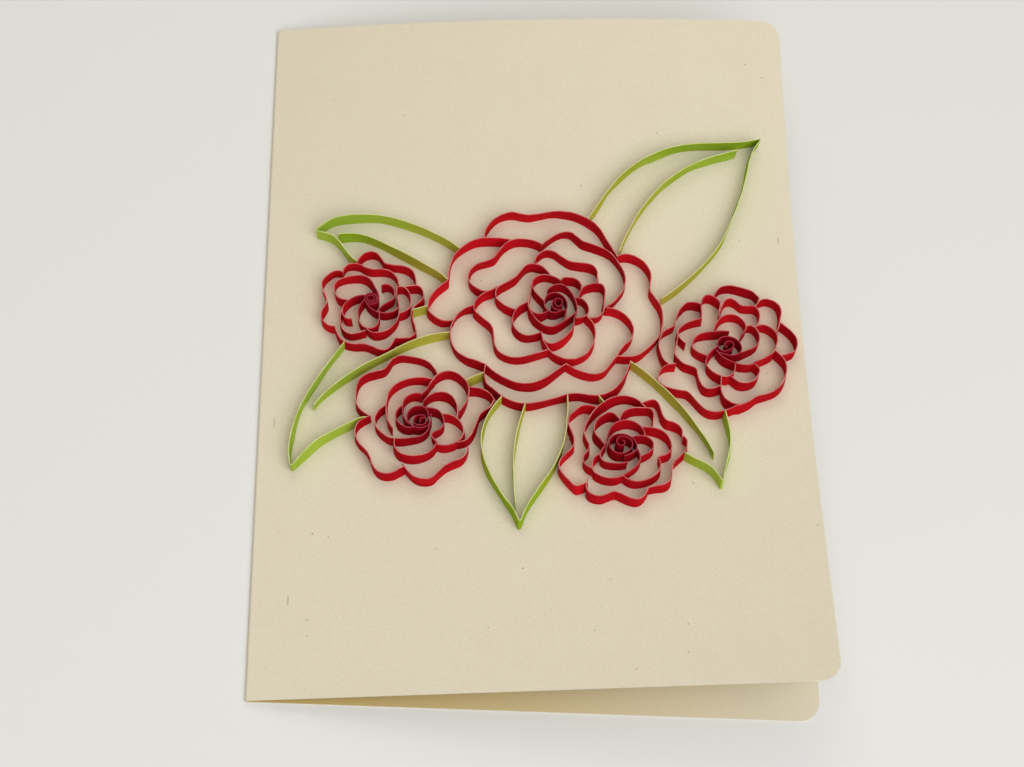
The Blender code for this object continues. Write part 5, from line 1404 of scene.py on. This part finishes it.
@dataclass(frozen=True)
class Studio:
    """Pale floor, soft light, and a camera that stands where the photograph was taken from."""

    azimuth: float = -15.58
    elevation: float = 60.77
    roll: float = 16.84
    distance: float = 407.97
    target: tuple[float, float, float] = (48.39, 67.22, 0.0)
    focal_pixels: float = 2081.7
    picture_width: int = 1024
    sensor_width: float = 36.0
    clip_start: float = 0.01
    floor_size: float = 6.0
    floor_colour: tuple[float, float, float] = (0.8, 0.8, 0.79)
    sky: float = 0.28
    lamps: tuple[Lamp, ...] = (
        Lamp("window_side", (0.25, -0.55, 0.75), 0.9, 6.4, (1.0, 1.0, 1.0)),
        Lamp("overhead", (0.0, 0.1, 1.0), 1.0, 2.1, (1.0, 0.98, 0.94)),
        Lamp("far_warm", (-0.12, 0.5, 0.6), 0.5, 0.9, (1.0, 0.86, 0.55)),
    )

    def camera(self) -> None:
        """Create the camera."""
        azimuth, elevation, roll = (math.radians(a) for a in (self.azimuth, self.elevation, self.roll))
        back = Vector((math.sin(azimuth) * math.cos(elevation), -math.cos(azimuth) * math.cos(elevation),
                       math.sin(elevation)))
        right = (-back).cross(Vector((0.0, 0.0, 1.0))).normalized()
        up = right.cross(-back)
        rolled_right = right * math.cos(roll) + up * math.sin(roll)
        rolled_up = up * math.cos(roll) - right * math.sin(roll)
        data = bpy.data.cameras.new("camera")
        data.sensor_fit = "HORIZONTAL"
        data.sensor_width = self.sensor_width
        data.lens = self.focal_pixels * self.sensor_width / self.picture_width
        data.clip_start = self.clip_start
        camera = bpy.data.objects.new("camera", data)
        turn = Matrix((rolled_right, rolled_up, back)).transposed().to_4x4()
        place = CARD.world(Vector(self.target) + back * self.distance)
        camera.matrix_world = Matrix.Translation(place) @ turn
        bpy.context.scene.collection.objects.link(camera)
        bpy.context.scene.camera = camera

    def floor(self) -> None:
        """Add the floor."""
        bm = bmesh.new()
        bmesh.ops.create_grid(bm, x_segments=1, y_segments=1, size=self.floor_size / 2.0)
        mesh = bpy.data.meshes.new("floor")
        bm.to_mesh(mesh)
        bm.free()
        floor = bpy.data.objects.new("floor", mesh)
        bpy.context.scene.collection.objects.link(floor)
        paint = Paint("pale_floor", roughness=0.9, specular=0.1)
        paint.shader.inputs["Base Color"].default_value = (*self.floor_colour, 1.0)
        mesh.materials.append(paint.material)

    def build(self) -> None:
        """Set up the whole studio."""
        self.camera()
        self.floor()
        for lamp in self.lamps:
            lamp.build()
        world = bpy.data.worlds.new("soft_room_light")
        world.use_nodes = True
        sky = world.node_tree.nodes["Background"]
        sky.inputs["Color"].default_value = (1.0, 1.0, 1.0, 1.0)
        sky.inputs["Strength"].default_value = self.sky
        bpy.context.scene.world = world
        bpy.context.scene.view_settings.view_transform = "Standard"


def main() -> None:
    """Build the studio, the card, the roses and the leaves, in that order."""
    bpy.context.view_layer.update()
    Studio().build()
    card = FoldedCard().build(CardStockFinish().make())
    LOG.info("%s: %d faces", card.name, len(card.data.polygons))
    paths = Layout([smooth(strip.route) for motif in MOTIFS for strip in motif.strips]).paths
    tree = StripTree()
    papers = {finish.name: (finish.face(), finish.cut_edge()) for finish in (RED, GREEN)}
    for seed, motif in enumerate(MOTIFS, start=1):
        motif.paths, paths = paths[:len(motif.strips)], paths[len(motif.strips):]
        piece = motif.build(tree, *papers[motif.finish.name], seed)
        LOG.info("%s: %d strips, %d faces", piece.name, len(motif.strips), len(piece.data.polygons))


if __name__ == "__main__":
    logging.basicConfig(level=logging.INFO)
    main()
